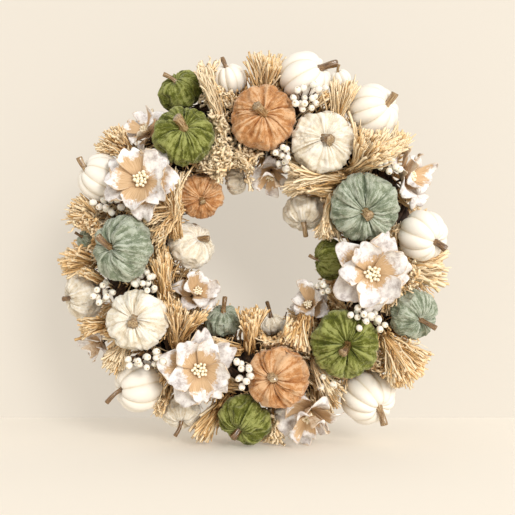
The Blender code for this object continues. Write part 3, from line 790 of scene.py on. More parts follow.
def plant_stem(name, turned, middle, root, length, width, seed, slot):
    """Stem of the ornament with this name, set in its top; length and width are in millimetres."""
    skin = stem_skin(root, length * 0.001, width * 0.001, seed) @ turned + middle
    tone = np.random.default_rng(seed + 50).uniform(0, 1)
    faces, uv = skin_faces(1, STEM_ROWS, STEM_COLUMNS)
    add_piece(f"{name}_stalk", skin, faces, uv, [stem_wood], slot, tones=tone)


blanks = []
for seams, seed in ((9, 1), (8, 4), (10, 7)):
    points, crease, rng = velvet_blank(seams, seed)
    points = stuffed(f"velvet_blank_{seams}", points, crease)
    points, shade = pleated(points, crease, rng)
    points[..., 2] -= (points[..., 2].max() + points[..., 2].min()) / 2
    points /= np.linalg.norm(points[..., :2], axis=-1).max()
    blanks.append((points, shade))

ornament_balls = []  # middle, width, plumpness and axis of all that straw has to stay out of


def velvet_pumpkin(slot, row, number, place=None):
    """Pumpkin of one row, where its CAD node is or, with a place of (middle, width), on its own."""
    name, lean, lean_clock, bend_clock, stem, stem_width, blank = row
    turned = facing(lean, lean_clock, bend_clock)
    middle, width = place or measured(name, turned)
    points, shade = blanks[blank]
    cos, sin = math.cos(1.7 * number), math.sin(1.7 * number)
    swivel = np.array([[cos, sin, 0], [-sin, cos, 0], [0, 0, 1]])
    rise = VELVET_PLUMPNESS / max(points[..., 2].max(), 0.01)
    local = points @ swivel * np.array([1, 1, rise]) * width / 2 * PROUD
    skin, shade = (local @ turned + middle)[::-1], shade[::-1].ravel()
    faces, uv = skin_faces(1, *points.shape[:2])
    cushion = add_piece(f"{name}_velvet", skin, faces, uv, [VELVETS[slot]], slot, tones=shade)
    if place is None:
        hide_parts(name)
    root = width * VELVET_PLUMPNESS / 2 * VELVET_STEM_ROOT
    plant_stem(name, turned, middle, root, stem, stem_width, number, slot)
    ornament_balls.append((middle, width, VELVET_PLUMPNESS, turned[2]))


number = 0
for slot, rows in VELVET_PUMPKINS.items():
    for row in rows:
        velvet_pumpkin(slot, row, number)
        number += 1

TINY_CLOCK, TINY_REACH, TINY_FORWARD, TINY_WIDTH = 273, 0.204, 0.012, 0.026
tiny_row = ("pumpkin_sage_tiny", 50, 300, 300, 9, 3, 1)
tiny_place = MIDDLE + clock_ways(TINY_CLOCK) * TINY_REACH + FRONT * TINY_FORWARD
velvet_pumpkin("sage_velvet", tiny_row, number, (tiny_place, TINY_WIDTH))
number += 1

# ---------------------------------------------------------------------------------------------
# Hard white pumpkins: moulded foam with clear rounded ribs and a matt ivory coat, rounder than
# the stuffed ones, each with a dried stem glued into its dished top.
# ---------------------------------------------------------------------------------------------

SHELL_PLUMPNESS = 0.76
SHELL_STEM_ROOT = 0.62
SHELL_ROWS, RIB_COLUMNS = 44, 14

# Node, lean, clock of the lean, clock the stem bends to, stem length and width in mm, ribs.
SHELL_PUMPKINS = [
    ("pumpkin_white_top", 60, 59, 74, 24, 7, 9),
    ("pumpkin_white_top_small", 70, 336, 70, 9, 3, 8),
    ("pumpkin_white_top_left", 70, 345, 342, 14, 5, 9),
    ("pumpkin_white_upper_right", 52, 71, 14, 18, 7, 10),
    ("pumpkin_white_right", 45, 118, 124, 16, 7, 9),
    ("pumpkin_white_lower_right", 45, 135, 175, 24, 7, 10),
    ("pumpkin_white_left", 70, 298, 343, 18, 6, 9),
    ("pumpkin_white_lower_left", 62, 263, 216, 26, 4.5, 9),
]


def shell_finish():
    """Matt ivory coat: faint mottling, painted shade that darkens the furrows and the dished ends to a warm
    grey, fine grit.
    """
    shell, tree, shader = new_finish("ivory coat", colour(240, 233, 219), 0.46)
    shader.inputs["Specular IOR Level"].default_value = 0.35
    mottle = speckled(tree, 85.0, 4.0, 0.6)
    grit = speckled(tree, 900.0, 2.0, 0.6)
    mixed = weighed(tree, (mottle, 0.35), (tone_of(tree), 0.65))
    stops = [(0.10, 196, 176, 145), (0.36, 232, 221, 200), (0.62, 246, 240, 229)]
    tree.links.new(shade_ramp(tree, mixed, stops), shader.inputs["Base Color"])
    raise_surface(tree, shader, combine(tree, "ADD", grit, mottle), 0.0004, 0.35)
    return shell


shell_coat = shell_finish()


def shell_skin(ribs, seed):
    """Half width 1. Height is cos of the fall, radius its sine to the power 0.80; furrows follow
    1 minus a sine's size to the power 0.85, so ribs are round and furrows narrow. Both ends dish in."""
    columns = ribs * RIB_COLUMNS
    fall = np.linspace(0.03, 0.97, SHELL_ROWS)[:, None] * np.pi
    turn = np.linspace(0, 2 * np.pi, columns, endpoint=False)[None]
    wander = 0.10 * np.sin(2 * turn + seed) + 0.06 * np.sin(3 * turn + 2 * seed)
    furrow = 1 - np.abs(np.sin(ribs * turn / 2)) ** 0.85
    ends = np.abs(np.cos(fall))
    swell = 1 + 0.04 * np.sin(turn + 2 * seed) + 0.02 * np.sin(3 * turn + seed)
    radius = np.sin(fall) ** 0.80 * (1 - (0.11 + 0.10 * ends**2) * furrow) * swell
    height = SHELL_PLUMPNESS * np.cos(fall) * (1 - 0.05 * furrow * ends)
    height -= np.sign(np.cos(fall)) * 0.24 * SHELL_PLUMPNESS * np.exp(-((radius / 0.27) ** 2))
    angle = turn + wander / 2 + 0.05 * np.cos(fall) * np.sin(turn + seed)
    # Painted shade: the tone is lower in the furrows and round both dished ends, which the coat's ramp turns
    # warm grey.
    shade = np.clip(1 - 0.8 * furrow**2 - 0.3 * np.exp(-((radius / 0.22) ** 2)), 0, 1)
    return np.stack([radius * np.cos(angle), radius * np.sin(angle), height + 0 * angle], -1), shade


for row in SHELL_PUMPKINS:
    name, lean, lean_clock, bend_clock, stem, stem_width, ribs = row
    turned = facing(lean, lean_clock, bend_clock)
    middle, width = measured(name, turned)
    points, shade = shell_skin(ribs, number)
    points /= np.linalg.norm(points[..., :2], axis=-1).max()
    points[..., 2] *= SHELL_PLUMPNESS / points[..., 2].max()
    skin, shade = ((points * width / 2 * PROUD) @ turned + middle)[::-1], shade[::-1].ravel()
    faces, uv = skin_faces(1, *points.shape[:2])
    shell = add_piece(f"{name}_shell", skin, faces, uv, [shell_coat], "white_shell", tones=shade)
    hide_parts(name)
    root = width * SHELL_PLUMPNESS / 2 * SHELL_STEM_ROOT
    plant_stem(name, turned, middle, root, stem, stem_width, number, "white_shell")
    ornament_balls.append((middle, width, SHELL_PLUMPNESS, turned[2]))
    number += 1

# ---------------------------------------------------------------------------------------------
# Flowers: cupped petals cut from thin wood shavings, two rings of them to a flower, brushed with
# white paint towards their wavy tips, round a bunch of small cream buds on wires.
# ---------------------------------------------------------------------------------------------

PETAL_THICKNESS = 0.0009
PETAL_ROWS, PETAL_COLUMNS = 26, 25
NODE_PETAL = 0.0024  # thickness of the petals of the frame's solids
PETALS_SET_BACK = 0.005  # petals that lean back go this far behind the solid
LOWER_STEEP, UPPER_STEEP = 0.5, 1.1  # how far each ring's tips rise, in depths of the flower
UPPER_REACH = 0.94  # length of the upper ring's petals over the lower ring's
UPPER_RAISED = 0.0045
BUDS = 17
BUD_SPREAD, BUD_SIZE = 0.20, 0.052  # shares of the flower's reach
BUD_RAISED = 0.0055
BUD_WIRE = 0.0004
BUD_ROWS, BUD_COLUMNS = 8, 9

# Node, width and depth in mm, lean, clock of the lean, clock of the first petal, petals in the
# lower ring, petals in the upper ring, how closed its cup is.
FLOWERS = [
    ("flower_upper_left", 86, 15, 14, 330, 345, 5, 5, 1.0),
    ("flower_top_left_edge", 58, 16, 45, 315, 0, 5, 4, 1.0),
    ("flower_inner_top", 52, 18, 48, 190, 170, 5, 4, 1.25),
    ("flower_right_edge", 74, 24, 58, 75, 20, 6, 5, 1.3),
    ("flower_right", 90, 15, 5, 90, 348, 5, 5, 1.0),
    ("flower_inner_left", 54, 22, 30, 40, 30, 5, 5, 1.1),
    ("flower_lower_left", 84, 15, 8, 80, 320, 5, 5, 1.0),
    ("flower_inner_right", 52, 18, 38, 320, 300, 5, 5, 1.1),
    ("flower_bottom", 80, 22, 42, 184, 180, 6, 5, 1.5),
    ("flower_left_edge", 42, 16, 70, 240, 200, 5, 3, 1.0),
]


def petal_finish():
    """Whitewashed wood: tan shaving with darker grain lines from base to tip, under a coat of white paint
    that thins out in brush strokes towards the base and is worn off along the edge, with painted shade that
    darkens each petal towards its base, deep in the cup."""
    wash, tree, shader = new_finish("washed petal wood", colour(222, 206, 180), 0.62)
    shader.inputs["Specular IOR Level"].default_value = 0.3
    place = tree.nodes.new("ShaderNodeSeparateXYZ")
    flat = coordinates(tree, "UV")
    tree.links.new(flat, place.inputs["Vector"])
    grain = streaked(tree, 46.0, 2.5, 4.0, 0.6)
    strokes = streaked(tree, 17.0, 3.0, 3.0, 0.6)
    blots = speckled(tree, 210.0, 4.0, 0.65)
    browns = [(0.30, 178, 142, 102), (0.5, 208, 174, 134), (0.72, 226, 198, 162)]
    wood = shade_ramp(tree, grain, browns)
    coat = speckled(tree, 95.0, 5.0, 0.7)
    whites = [(0.32, 172, 161, 156), (0.43, 212, 205, 202), (0.52, 236, 231, 228), (0.64, 255, 253, 249)]
    paint = shade_ramp(tree, coat, whites)
    across, along = place.outputs["X"], place.outputs["Y"]
    cover = weighed(tree, (along, 1.0), (strokes, 0.30), (coat, 0.70), (tone_of(tree), -0.40))
    sharp = level_ramp(tree, cover, [(0.82, 0.0), (0.90, 0.9), (1.0, 1.0)])
    painted = blend_colours(tree, sharp, wood, paint)
    off_centre = combine(tree, "ABSOLUTE", combine(tree, "SUBTRACT", across, 0.5), 0.0)
    rim = weighed(tree, (off_centre, 2.0), (blots, 0.05))
    worn = level_ramp(tree, rim, [(0.972, 0.0), (1.0, 1.0)])
    tip = level_ramp(tree, along, [(0.972, 0.0), (0.995, 1.0)])
    edges = combine(tree, "MULTIPLY", combine(tree, "MAXIMUM", worn, tip), 0.55)
    worn_edges = blend_colours(tree, edges, painted, colour(222, 200, 172))
    # Painted shade: each petal darkens to brown towards its base, deep in the cup.
    cup = level_ramp(tree, along, [(0.06, 0.25), (0.36, 1.0)])
    shaded = blend_colours(tree, cup, colour(136, 100, 66), worn_edges)
    tree.links.new(shaded, shader.inputs["Base Color"])
    height = weighed(tree, (sharp, 0.35), (blots, 0.8), (grain, 0.15))
    raise_surface(tree, shader, height, 0.0007, 0.7)
    return wash


def shaving_finish():
    """Bare wood on the petals' backs: tan with brown grain and the last of the whitewash."""
    bare, tree, shader = new_finish("bare petal wood", colour(190, 158, 120), 0.7)
    shader.inputs["Specular IOR Level"].default_value = 0.25
    grain = streaked(tree, 30.0, 2.5, 4.0, 0.6)
    blots = speckled(tree, 120.0, 4.0, 0.6)
    mixed = weighed(tree, (grain, 0.4), (blots, 0.6))
    stops = [(0.34, 156, 120, 92), (0.45, 202, 174, 142), (0.55, 224, 206, 182), (0.66, 238, 228, 214)]
    tree.links.new(shade_ramp(tree, mixed, stops), shader.inputs["Base Color"])
    raise_surface(tree, shader, grain, 0.0004, 0.6)
    return bare


def bud_finish():
    """Cream buds with a tan foot and a powdery surface."""
    bud, tree, shader = new_finish("cream bud", colour(240, 226, 190), 0.7)
    spots = speckled(tree, 520.0, 3.0)
    mixed = weighed(tree, (spots, 0.4), (tone_of(tree), 0.6))
    stops = [(0.2, 186, 150, 98), (0.45, 233, 214, 170), (0.8, 252, 245, 225)]
    tree.links.new(shade_ramp(tree, mixed, stops), shader.inputs["Base Color"])
    raise_surface(tree, shader, spots, 0.0004, 0.6)
    return bud


petal_wood, bare_wood, bud_coat = petal_finish(), shaving_finish(), bud_finish()


def petal_sheets(reach, depth, angles, steep, rng):
    """(count, rows, columns, 3) petals at these angles. Along a petal t runs from base to tip, across
    it s from -1 to 1. Half width is a rising sine up to t = 0.72, then falls off like an ellipse;
    length is cut back by s to the power 2.6 and by a notch that makes two lobes. The cup rises with t
    to the power 1.3 and falls past the widest place, its sides curl up with s squared, it tilts by s
    times t, and the rim waves with sines of s. Every second petal lies over its neighbours."""
    count = len(angles)

    def pick(low, high):
        return rng.uniform(low, high, (count, 1, 1))

    t = np.linspace(0, 1, PETAL_ROWS)[None, :, None]
    s = np.linspace(-1, 1, PETAL_COLUMNS)[None, None]
    over = (np.arange(count) % 2)[:, None, None]
    half = reach * pick(0.35, 0.44) * (0.20 + 0.80 * np.sin(np.minimum(t / 0.72, 1) * np.pi / 2) ** 1.3)
    half = half * np.sqrt(1 - 0.45 * np.clip((t - 0.72) / 0.28, 0, 1) ** 2)
    ripple = pick(0.5, 1.2) * np.sin(pick(2.5, 4.5) * s + pick(0, 6))
    ripple = ripple + 0.2 * np.sin(pick(7, 11) * s + pick(0, 6))
    notch = pick(0.0, 0.15) * np.exp(-(((s - pick(-0.35, 0.35)) / 0.24) ** 2))
    tip = 1 - pick(0.24, 0.36) * np.abs(s) ** 2.6 - notch + 0.010 * ripple
    length = reach * t * (1 + (tip - 1) * t**1.5) * pick(0.92, 1.06)
    across = half * s + reach * pick(-0.12, 0.12) * t**2
    lift = (depth + PETALS_SET_BACK) * steep * pick(0.65, 1.30)
    rise = lift * (0.12 + 0.88 * t**1.3) - 0.45 * depth * np.clip((t - 0.72) / 0.28, 0, 1) ** 2
    rise = rise + reach * (0.17 * s**2 * t + 0.030 * ripple * t**2 - 0.03 * np.exp(-((s / 0.25) ** 2)) * t)
    rise = rise + reach * pick(0.06, 0.30) * s * t + 0.0030 * over * t**0.5
    length = length * (1 - 0.22 * (steep - 1))
    turn = angles[:, None, None] + pick(-0.12, 0.12)
    x = length * np.cos(turn) - across * np.sin(turn)
    y = length * np.sin(turn) + across * np.cos(turn)
    return np.stack([x, y, rise + 0 * x], -1)


def sheet_faces(count, rows, columns):
    """Faces and corner uv of count open sheets; u runs across each sheet and v along it."""
    i, j = np.meshgrid(np.arange(rows - 1), np.arange(columns - 1), indexing="ij")
    near, far = i * columns + j, (i + 1) * columns + j
    quads = np.stack([near, far, far + 1, near + 1], -1).reshape(1, -1, 4)
    u, v = np.stack([j, j, j + 1, j + 1], -1) / (columns - 1), np.stack([i, i + 1, i + 1, i], -1) / (rows - 1)
    shift = (np.arange(count) * rows * columns)[:, None, None]
    corner_uv = np.stack([u, v], -1).reshape(-1, 4, 2)
    return [(quads + shift).reshape(-1, 4)], [np.tile(corner_uv, (count, 1, 1))]


def drops(middles, ways, lengths, widths, rows=BUD_ROWS, columns=BUD_COLUMNS, dimple=0.0):
    """Skins of small buds or berries: ellipsoids along their ways with a dimple of this depth, as a
    share of the length, at the far end."""
    fall = np.linspace(0.96, 0.05, rows)[None, :] * np.pi
    helper = np.where(np.abs(ways[:, 2:3]) < 0.9, (0.0, 0.0, 1.0), (1.0, 0.0, 0.0))
    x = unit(np.cross(ways, helper))
    y = np.cross(ways, x)
    turn = np.linspace(0, 2 * np.pi, columns, endpoint=False)
    rim = x[:, None, None] * np.cos(turn)[:, None] + y[:, None, None] * np.sin(turn)[:, None]
    along = lengths[:, None] * np.cos(fall) - lengths[:, None] * dimple * np.exp(-((fall / 0.42) ** 2))
    skin = middles[:, None, None] + ways[:, None, None] * along[..., None, None]
    return skin + rim * (widths[:, None] * np.sin(fall))[..., None, None]


for index, row in enumerate(FLOWERS):
    name, wide, deep, lean, lean_clock, first, outer, inner, closed = row
    rng = np.random.default_rng(300 + index)
    turned = facing(lean, lean_clock, lean_clock + 90)
    reach, depth = wide / 2000, deep / 1000
    middle, _ = measured(name, turned)
    corners = (node_triangles(name).reshape(-1, 3) - middle) @ turned.T
    base = middle + turned[2] * (corners[:, 2].max() - depth - NODE_PETAL - PETALS_SET_BACK)
    start = math.radians(lean_clock + 90 - first)
    lower_angles = start - 2 * np.pi * (np.arange(outer) + 0.5) / outer
    upper_angles = start - 2 * np.pi * np.arange(inner) / inner
    lower = petal_sheets(reach, depth, lower_angles, LOWER_STEEP * closed, rng)
    upper = petal_sheets(reach * UPPER_REACH / closed, depth, upper_angles, UPPER_STEEP, rng)
    sheets = np.concatenate([lower, upper + np.array([0.0, 0.0, UPPER_RAISED])]) @ turned + base
    resting = np.array([0.0, 0.0, max(0.0, cad_box[0].z - sheets[..., 2].min())])
    sheets, base = sheets + resting, base + resting
    tones = np.repeat(rng.uniform(0, 1, len(sheets)), PETAL_ROWS * PETAL_COLUMNS)
    faces, uv = sheet_faces(len(sheets), PETAL_ROWS, PETAL_COLUMNS)
    woods = [petal_wood, bare_wood]
    petals = add_piece(f"{name}_petals", sheets, faces, uv, woods, "petal_wood", tones=tones)
    thick = petals.modifiers.new("thickness", "SOLIDIFY")
    thick.thickness = PETAL_THICKNESS
    thick.offset = 0.0
    thick.material_offset = 1
    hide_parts(name)
    spiral = np.arange(BUDS) * 2.4
    spread = np.sqrt((np.arange(BUDS) + 0.4) / BUDS) * reach * BUD_SPREAD
    raised = depth * 0.42 + BUD_RAISED + rng.uniform(0, 0.0025, BUDS)
    head = np.stack([spread * np.cos(spiral), spread * np.sin(spiral), raised], -1)
    foot = head * np.array([0.3, 0.3, 0]) + np.array([0, 0, 0.001])
    ways = unit(head - foot + np.array([0, 0, 0.002]))
    size = reach * BUD_SIZE
    buds = drops(head, ways, size * rng.uniform(1.15, 1.5, BUDS), size * rng.uniform(0.8, 1.1, BUDS))
    wires = tube_rings(np.stack([foot, (foot + head) / 2, head], 1), BACK, BUD_WIRE, 4)
    bud_faces, wire_faces = skin_faces(BUDS, BUD_ROWS, BUD_COLUMNS), skin_faces(BUDS, 3, 4)
    points, faces, uv = joined((buds, *bud_faces), (wires, *wire_faces))
    fall_tone = np.tile(np.repeat(np.linspace(0.1, 1, BUD_ROWS), BUD_COLUMNS), BUDS)
    tones = np.concatenate([fall_tone, np.zeros(BUDS * 3 * 4)])
    add_piece(f"{name}_buds", points @ turned + base, faces, uv, [bud_coat], "petal_wood", tones=tones)
    ornament_balls.append((base + turned[2] * depth * 0.5, wide / 1000 * 0.92, 0.34, turned[2]))

# ---------------------------------------------------------------------------------------------
# Berry sprays: cream berries with a brown navel, each on its own thin dark wire, and the wires
# of a spray wound together into one stalk that is pushed in among the vines.
# ---------------------------------------------------------------------------------------------

BERRY_RADIUS = 0.0039
BERRY_WIRE = 0.00075
SPRAY_HALF_HEIGHT = 0.013
SPRAY_ROOT = 26  # height of a stalk's root in front of the ring's middle, in mm
BERRY_ROWS, BERRY_COLUMNS = 10, 12
BERRY_WIRE_STEPS, BERRY_WIRE_COLUMNS = 9, 6

# Name, clock, reach and height in front of the ring's middle in mm, clock of the run, length,
# breadth, berries, whether it stands for the node of its name.
SPRAYS = [
    ("berries_top", 18.5, 180, 76, 60, 50, 30, 15, True),
    ("berries_inner_top", 15, 109, 72, 165, 38, 22, 11, True),
    ("berries_upper_right", 58, 178, 66, 110, 38, 20, 9, True),
    ("berries_left", 287, 177, 62, 90, 42, 26, 12, True),
    ("berries_lower_left", 224.5, 175, 76, 80, 52, 24, 14, True),
    ("berries_bottom", 186.5, 140, 82, 0, 38, 26, 10, True),
    ("berries_right", 123, 141, 86, 115, 44, 30, 13, True),
    ("berries_left_low", 254.2, 187, 55, 20, 34, 28, 10, False),
    ("berries_inner_left", 251.7, 135, 66, 350, 40, 28, 12, False),
    ("berries_right_low", 122, 160, 66, 150, 26, 20, 6, False),
    ("berries_bottom_right", 153.4, 176, 56, 200, 32, 22, 8, False),
    ("berries_inner_right", 119.8, 88, 55, 330, 24, 18, 6, False),
]


def berry_finish():
    """Cream berries: waxy off-white with tan freckles and a brown navel; tone falls to 0 there."""
    berry, tree, shader = new_finish("cream berry", colour(238, 228, 208), 0.42)
    shader.inputs["Subsurface Weight"].default_value = 0.12
    shader.inputs["Subsurface Radius"].default_value = (0.004, 0.003, 0.002)
    freckles = speckled(tree, 430.0, 3.0)
    mixed = weighed(tree, (freckles, 0.4), (tone_of(tree), 0.6))
    stops = [(0.16, 88, 60, 38), (0.34, 214, 194, 160), (0.56, 242, 233, 215), (0.9, 252, 248, 239)]
    tree.links.new(shade_ramp(tree, mixed, stops), shader.inputs["Base Color"])
    raise_surface(tree, shader, freckles, 0.0004, 0.4)
    return berry


def twig_finish():
    """Dark wrapped wire and dry twig: brown paper wound round it, with paler scuffs."""
    twig, tree, shader = new_finish("brown twig", colour(74, 52, 36), 0.8)
    wound = streaked(tree, 3.0, 70.0, 3.0)
    stops = [(0.3, 40, 27, 19), (0.55, 84, 59, 40), (0.8, 134, 103, 72)]
    tree.links.new(shade_ramp(tree, wound, stops), shader.inputs["Base Color"])
    raise_surface(tree, shader, wound, 0.0005, 0.8)
    return twig


berry_coat, twig_wrap = berry_finish(), twig_finish()


def depth_inside(points, swell=1.0):
    """For points (..., 3): the least of (distance across the axis over half width) squared plus
    (distance along it over half height) squared, over all ornaments. Under 1 is inside one."""
    least = np.full(points.shape[:-1], 9.0)
    for middle, width, plump, axis in ornament_balls:
        away = points - middle
        along = away @ axis
        across = (away**2).sum(-1) - along**2
        half = width / 2 * swell
        least = np.minimum(least, across / half**2 + along**2 / (half * plump) ** 2)
    return least


def place_of(clock, reach, forward):
    """Point at a clock, a reach from the wreath's middle and a height in front of it, both in mm."""
    return MIDDLE + clock_ways(clock) * reach * 0.001 + FRONT * forward * 0.001


def scattered(middle, run, half_long, half_wide, half_high, count, apart, rng):
    """Up to count points in an ellipsoid that keep apart from each other and out of the ornaments."""
    side = np.cross(run, FRONT)
    tries = unit(rng.normal(0, 1, (900, 3))) * rng.uniform(0, 1, (900, 1)) ** 0.4
    tries = middle + tries @ np.stack([run * half_long, side * half_wide, FRONT * half_high])
    tries = tries[depth_inside(tries, 1.10) > 1]
    kept = []
    for point in tries:
        if len(kept) < count and all(np.linalg.norm(point - other) > apart for other in kept):
            kept.append(point)
    return np.array(kept)


for index, row in enumerate(SPRAYS):
    name, clock, reach, forward, run_clock, length, breadth, count, stands = row
    rng = np.random.default_rng(500 + index)
    middle = place_of(clock, reach, forward)
    run = clock_ways(run_clock)
    half_room = (length / 2000, breadth / 2000, SPRAY_HALF_HEIGHT)
    berries = scattered(middle, run, *half_room, count, BERRY_RADIUS * 2.05, rng)
    root = place_of(clock, reach, SPRAY_ROOT) - run * length * 0.0004
    fork = middle - run * length * 0.0002 - FRONT * 0.012
    ways = unit(berries - fork + rng.normal(0, 0.006, berries.shape))
    count = len(berries)
    size = BERRY_RADIUS * rng.uniform(0.86, 1.08, count)
    lengths = size * rng.uniform(1.12, 1.32, count)
    skins = drops(berries, ways, lengths, size, BERRY_ROWS, BERRY_COLUMNS, 0.20)
    navel = 1 - np.exp(-((np.linspace(0.96, 0.05, BERRY_ROWS) / 0.13) ** 2))
    tones = np.tile(np.repeat(navel, BERRY_COLUMNS), count)
    faces, uv = skin_faces(count, BERRY_ROWS, BERRY_COLUMNS)
    made = add_piece(f"{name}_fruit", skins, faces, uv, [berry_coat], "berry", tones=tones)
    if stands:
        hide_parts(name)
    t = np.linspace(0, 1, BERRY_WIRE_STEPS)[None, :, None]
    sprawl = rng.normal(0, 0.004, (count, 1, 3))
    berry_foot = (berries - ways * size[:, None])[:, None]
    bent = (1 - t) ** 2 * root + 2 * t * (1 - t) * (fork + sprawl) + t**2 * berry_foot
    stalks = tube_rings(bent, (0.31, 0.1, 0.94), BERRY_WIRE, BERRY_WIRE_COLUMNS)
    faces, uv = skin_faces(count, BERRY_WIRE_STEPS, BERRY_WIRE_COLUMNS)
    add_piece(f"{name}_wires", stalks, faces, uv, [twig_wrap], "berry")

# ---------------------------------------------------------------------------------------------
# Straw: tufts of raffia and flat straw, tied at the root, pushed in between the vines and cut
# off like a brush. Small tufts and dry twigs fill every gap between the ornaments.
# ---------------------------------------------------------------------------------------------

STRAW_STEPS = 9
STRAW_HALF = 0.0006  # half width of a strand for each mm of breadth in the table
TRIES = 4  # strands worked out for each one that is wanted, as some run into ornaments
FLAKE_TRIES = 3
FLAKE_LENGTHS, FLAKE_HALVES = (0.011, 0.021), (0.0013, 0.0030)
LOOP_CLEARANCE = (0.006, 0.014, 0.006)  # room that the hanging loop needs to turn in
# Corners of a straw's section: a flat strip with a low ridge, in half widths.
STRAW_SECTION = np.array([(-1.0, -0.10), (1.0, -0.10), (0.1, 0.24)])

# Name, clock, reach and height of the root, clock of the run, slope to the front, length, fan angle, strands,
# shade from 0 brown to 1 cream, curl, breadth of a strand in mm, stands for a node. The shade is the straw's
# own colour and also painted shade: the tufts low down and on the left are set darker, as less light reaches
# them.
TUFTS = [
    ("straw_top", 3, 175, 22, 5, 14, 54, 30, 260, 0.55, 0.10, 1.8, True),
    ("straw_upper_right", 51, 141, 44, 34, 30, 70, 32, 280, 0.74, 0.45, 2.4, True),
    ("straw_inner_upper_right", 53, 112, 40, 225, 12, 54, 34, 240, 0.78, 0.55, 2.4, True),
    ("straw_right", 98, 161, 26, 90, 18, 62, 36, 130, 0.72, 0.70, 3.2, True),
    ("straw_lower_right", 125, 182, 36, 150, 20, 60, 34, 260, 0.52, 0.50, 2.2, True),
    ("straw_bottom_left", 194, 194, 18, 211, 10, 44, 12, 120, 0.40, 0.15, 2.6, True),
    ("straw_left", 265, 196, 20, 278, 10, 35, 24, 180, 0.50, 0.20, 2.8, True),
    ("straw_top_left", 344, 146, 42, 351, 8, 68, 16, 150, 0.92, 0.50, 1.6, False),
    ("straw_top_right", 33, 165, 40, 18, 8, 60, 20, 180, 0.80, 0.20, 1.8, False),
    ("straw_top_middle", 18, 159, 30, 24, 10, 50, 24, 120, 0.60, 0.20, 1.8, False),
    ("straw_right_upper", 58, 178, 30, 64, 20, 50, 34, 220, 0.72, 0.40, 2.2, False),
    ("straw_inner_top_right", 50, 127, 46, 272, 8, 70, 18, 200, 0.80, 0.50, 2.3, False),
    ("straw_inner_right_upper", 61, 97, 40, 195, 10, 38, 22, 110, 0.75, 0.60, 2.2, False),
    ("straw_right_front", 90, 157, 40, 353, 10, 26, 30, 90, 0.60, 0.30, 2.0, False),
    ("straw_right_hanging", 103, 162, 36, 171, 10, 38, 20, 110, 0.66, 0.80, 2.4, False),
    ("straw_low_front", 154, 146, 50, 150, 8, 41, 16, 60, 0.85, 0.10, 2.0, False),
    ("straw_low_inner", 145, 97, 50, 188, 14, 40, 26, 160, 0.54, 0.60, 2.4, False),
    ("straw_inner_bottom", 184, 116, 46, 350, 10, 48, 26, 200, 0.42, 0.20, 2.2, False),
    ("straw_inner_bottom_right", 172, 120, 46, 9, 12, 46, 26, 160, 0.52, 0.70, 2.6, False),
    ("straw_wrap_left", 241, 123, 46, 0, 5, 60, 20, 240, 0.42, 0.35, 1.6, False),
    ("straw_wrap_lower_left", 220, 148, 44, 8, 6, 58, 28, 280, 0.45, 0.35, 1.7, False),
    ("straw_tangle_left", 297, 101, 48, 241, 10, 58, 24, 220, 0.60, 0.90, 1.6, False),
    ("straw_tangle_upper_left", 279, 96, 46, 357, 6, 74, 14, 180, 0.62, 0.80, 1.6, False),
    ("straw_low_centre", 189, 163, 40, 277, 15, 33, 25, 120, 0.60, 0.20, 1.8, False),
    ("straw_mid_low", 190, 120, 46, 279, 15, 36, 20, 90, 0.50, 0.20, 1.8, False),
    ("straw_lower_left", 212, 194, 24, 198, 12, 36, 20, 110, 0.58, 0.80, 2.0, False),
    ("straw_bottom", 174, 190, 22, 197, 10, 40, 22, 100, 0.66, 0.80, 2.8, False),
    ("straw_left_low", 234, 184, 36, 227, 14, 41, 26, 220, 0.84, 0.10, 2.2, False),
    ("straw_left_mid", 243, 194, 26, 264, 14, 37, 22, 170, 0.42, 0.30, 2.2, False),
    ("straw_left_front", 258, 188, 38, 282, 20, 25, 30, 110, 0.48, 0.30, 2.0, False),
    ("straw_left_high", 274, 190, 24, 308, 20, 26, 34, 150, 0.55, 0.80, 2.2, False),
    ("straw_left_top", 281, 188, 22, 292, 10, 38, 22, 170, 0.60, 0.10, 1.9, False),
    ("straw_upper_left", 307, 185, 22, 302, 18, 40, 36, 240, 0.60, 0.20, 2.2, False),
    ("straw_gap_bottom", 154, 168, 20, 150, 10, 44, 34, 150, 0.55, 0.30, 2.0, False),
    ("straw_gap_left", 238, 178, 24, 241, 10, 36, 34, 150, 0.52, 0.30, 2.2, False),
]

# Name, clock, reach and height of the middle, clock of the run, length and breadth of the patch,
# flakes, shade.
SHAVINGS = [
    ("shavings_top_left", 339, 128, 50, 350, 64, 24, 330, 1.10),
    ("shavings_inner_left", 346, 96, 46, 335, 34, 40, 260, 1.02),
    ("shavings_top", 346, 196, 34, 340, 40, 26, 160, 1.05),
    ("shavings_right", 100, 170, 40, 170, 50, 26, 170, 0.74),
    ("shavings_lower_right", 131, 206, 34, 60, 46, 34, 240, 0.68),
    ("shavings_left", 275, 196, 26, 0, 34, 24, 160, 0.72),
    ("shavings_inner_bottom", 168, 108, 48, 80, 30, 26, 120, 0.66),
    ("shavings_bottom", 176, 214, 24, 200, 34, 22, 110, 0.82),
]


def straw_finish():
    """Dried straw: brown, tan and cream strands by tone, with fine lines along each and a soft gleam."""
    straw, tree, shader = new_finish("dried straw", colour(205, 176, 128), 0.62)
    shader.inputs["Specular IOR Level"].default_value = 0.4
    lines = streaked(tree, 3.0, 5.0, 3.0)
    flecks = speckled(tree, 330.0, 3.0)
    mixed = weighed(tree, (lines, 0.15), (flecks, 0.25), (tone_of(tree), 0.70))
    stops = [(0.16, 146, 100, 54), (0.32, 216, 172, 112), (0.50, 252, 214, 158), (0.80, 255, 234, 198)]
    tree.links.new(shade_ramp(tree, mixed, stops), shader.inputs["Base Color"])
    raise_surface(tree, shader, combine(tree, "ADD", lines, flecks), 0.0004, 0.5)
    return straw


dried_straw = straw_finish()


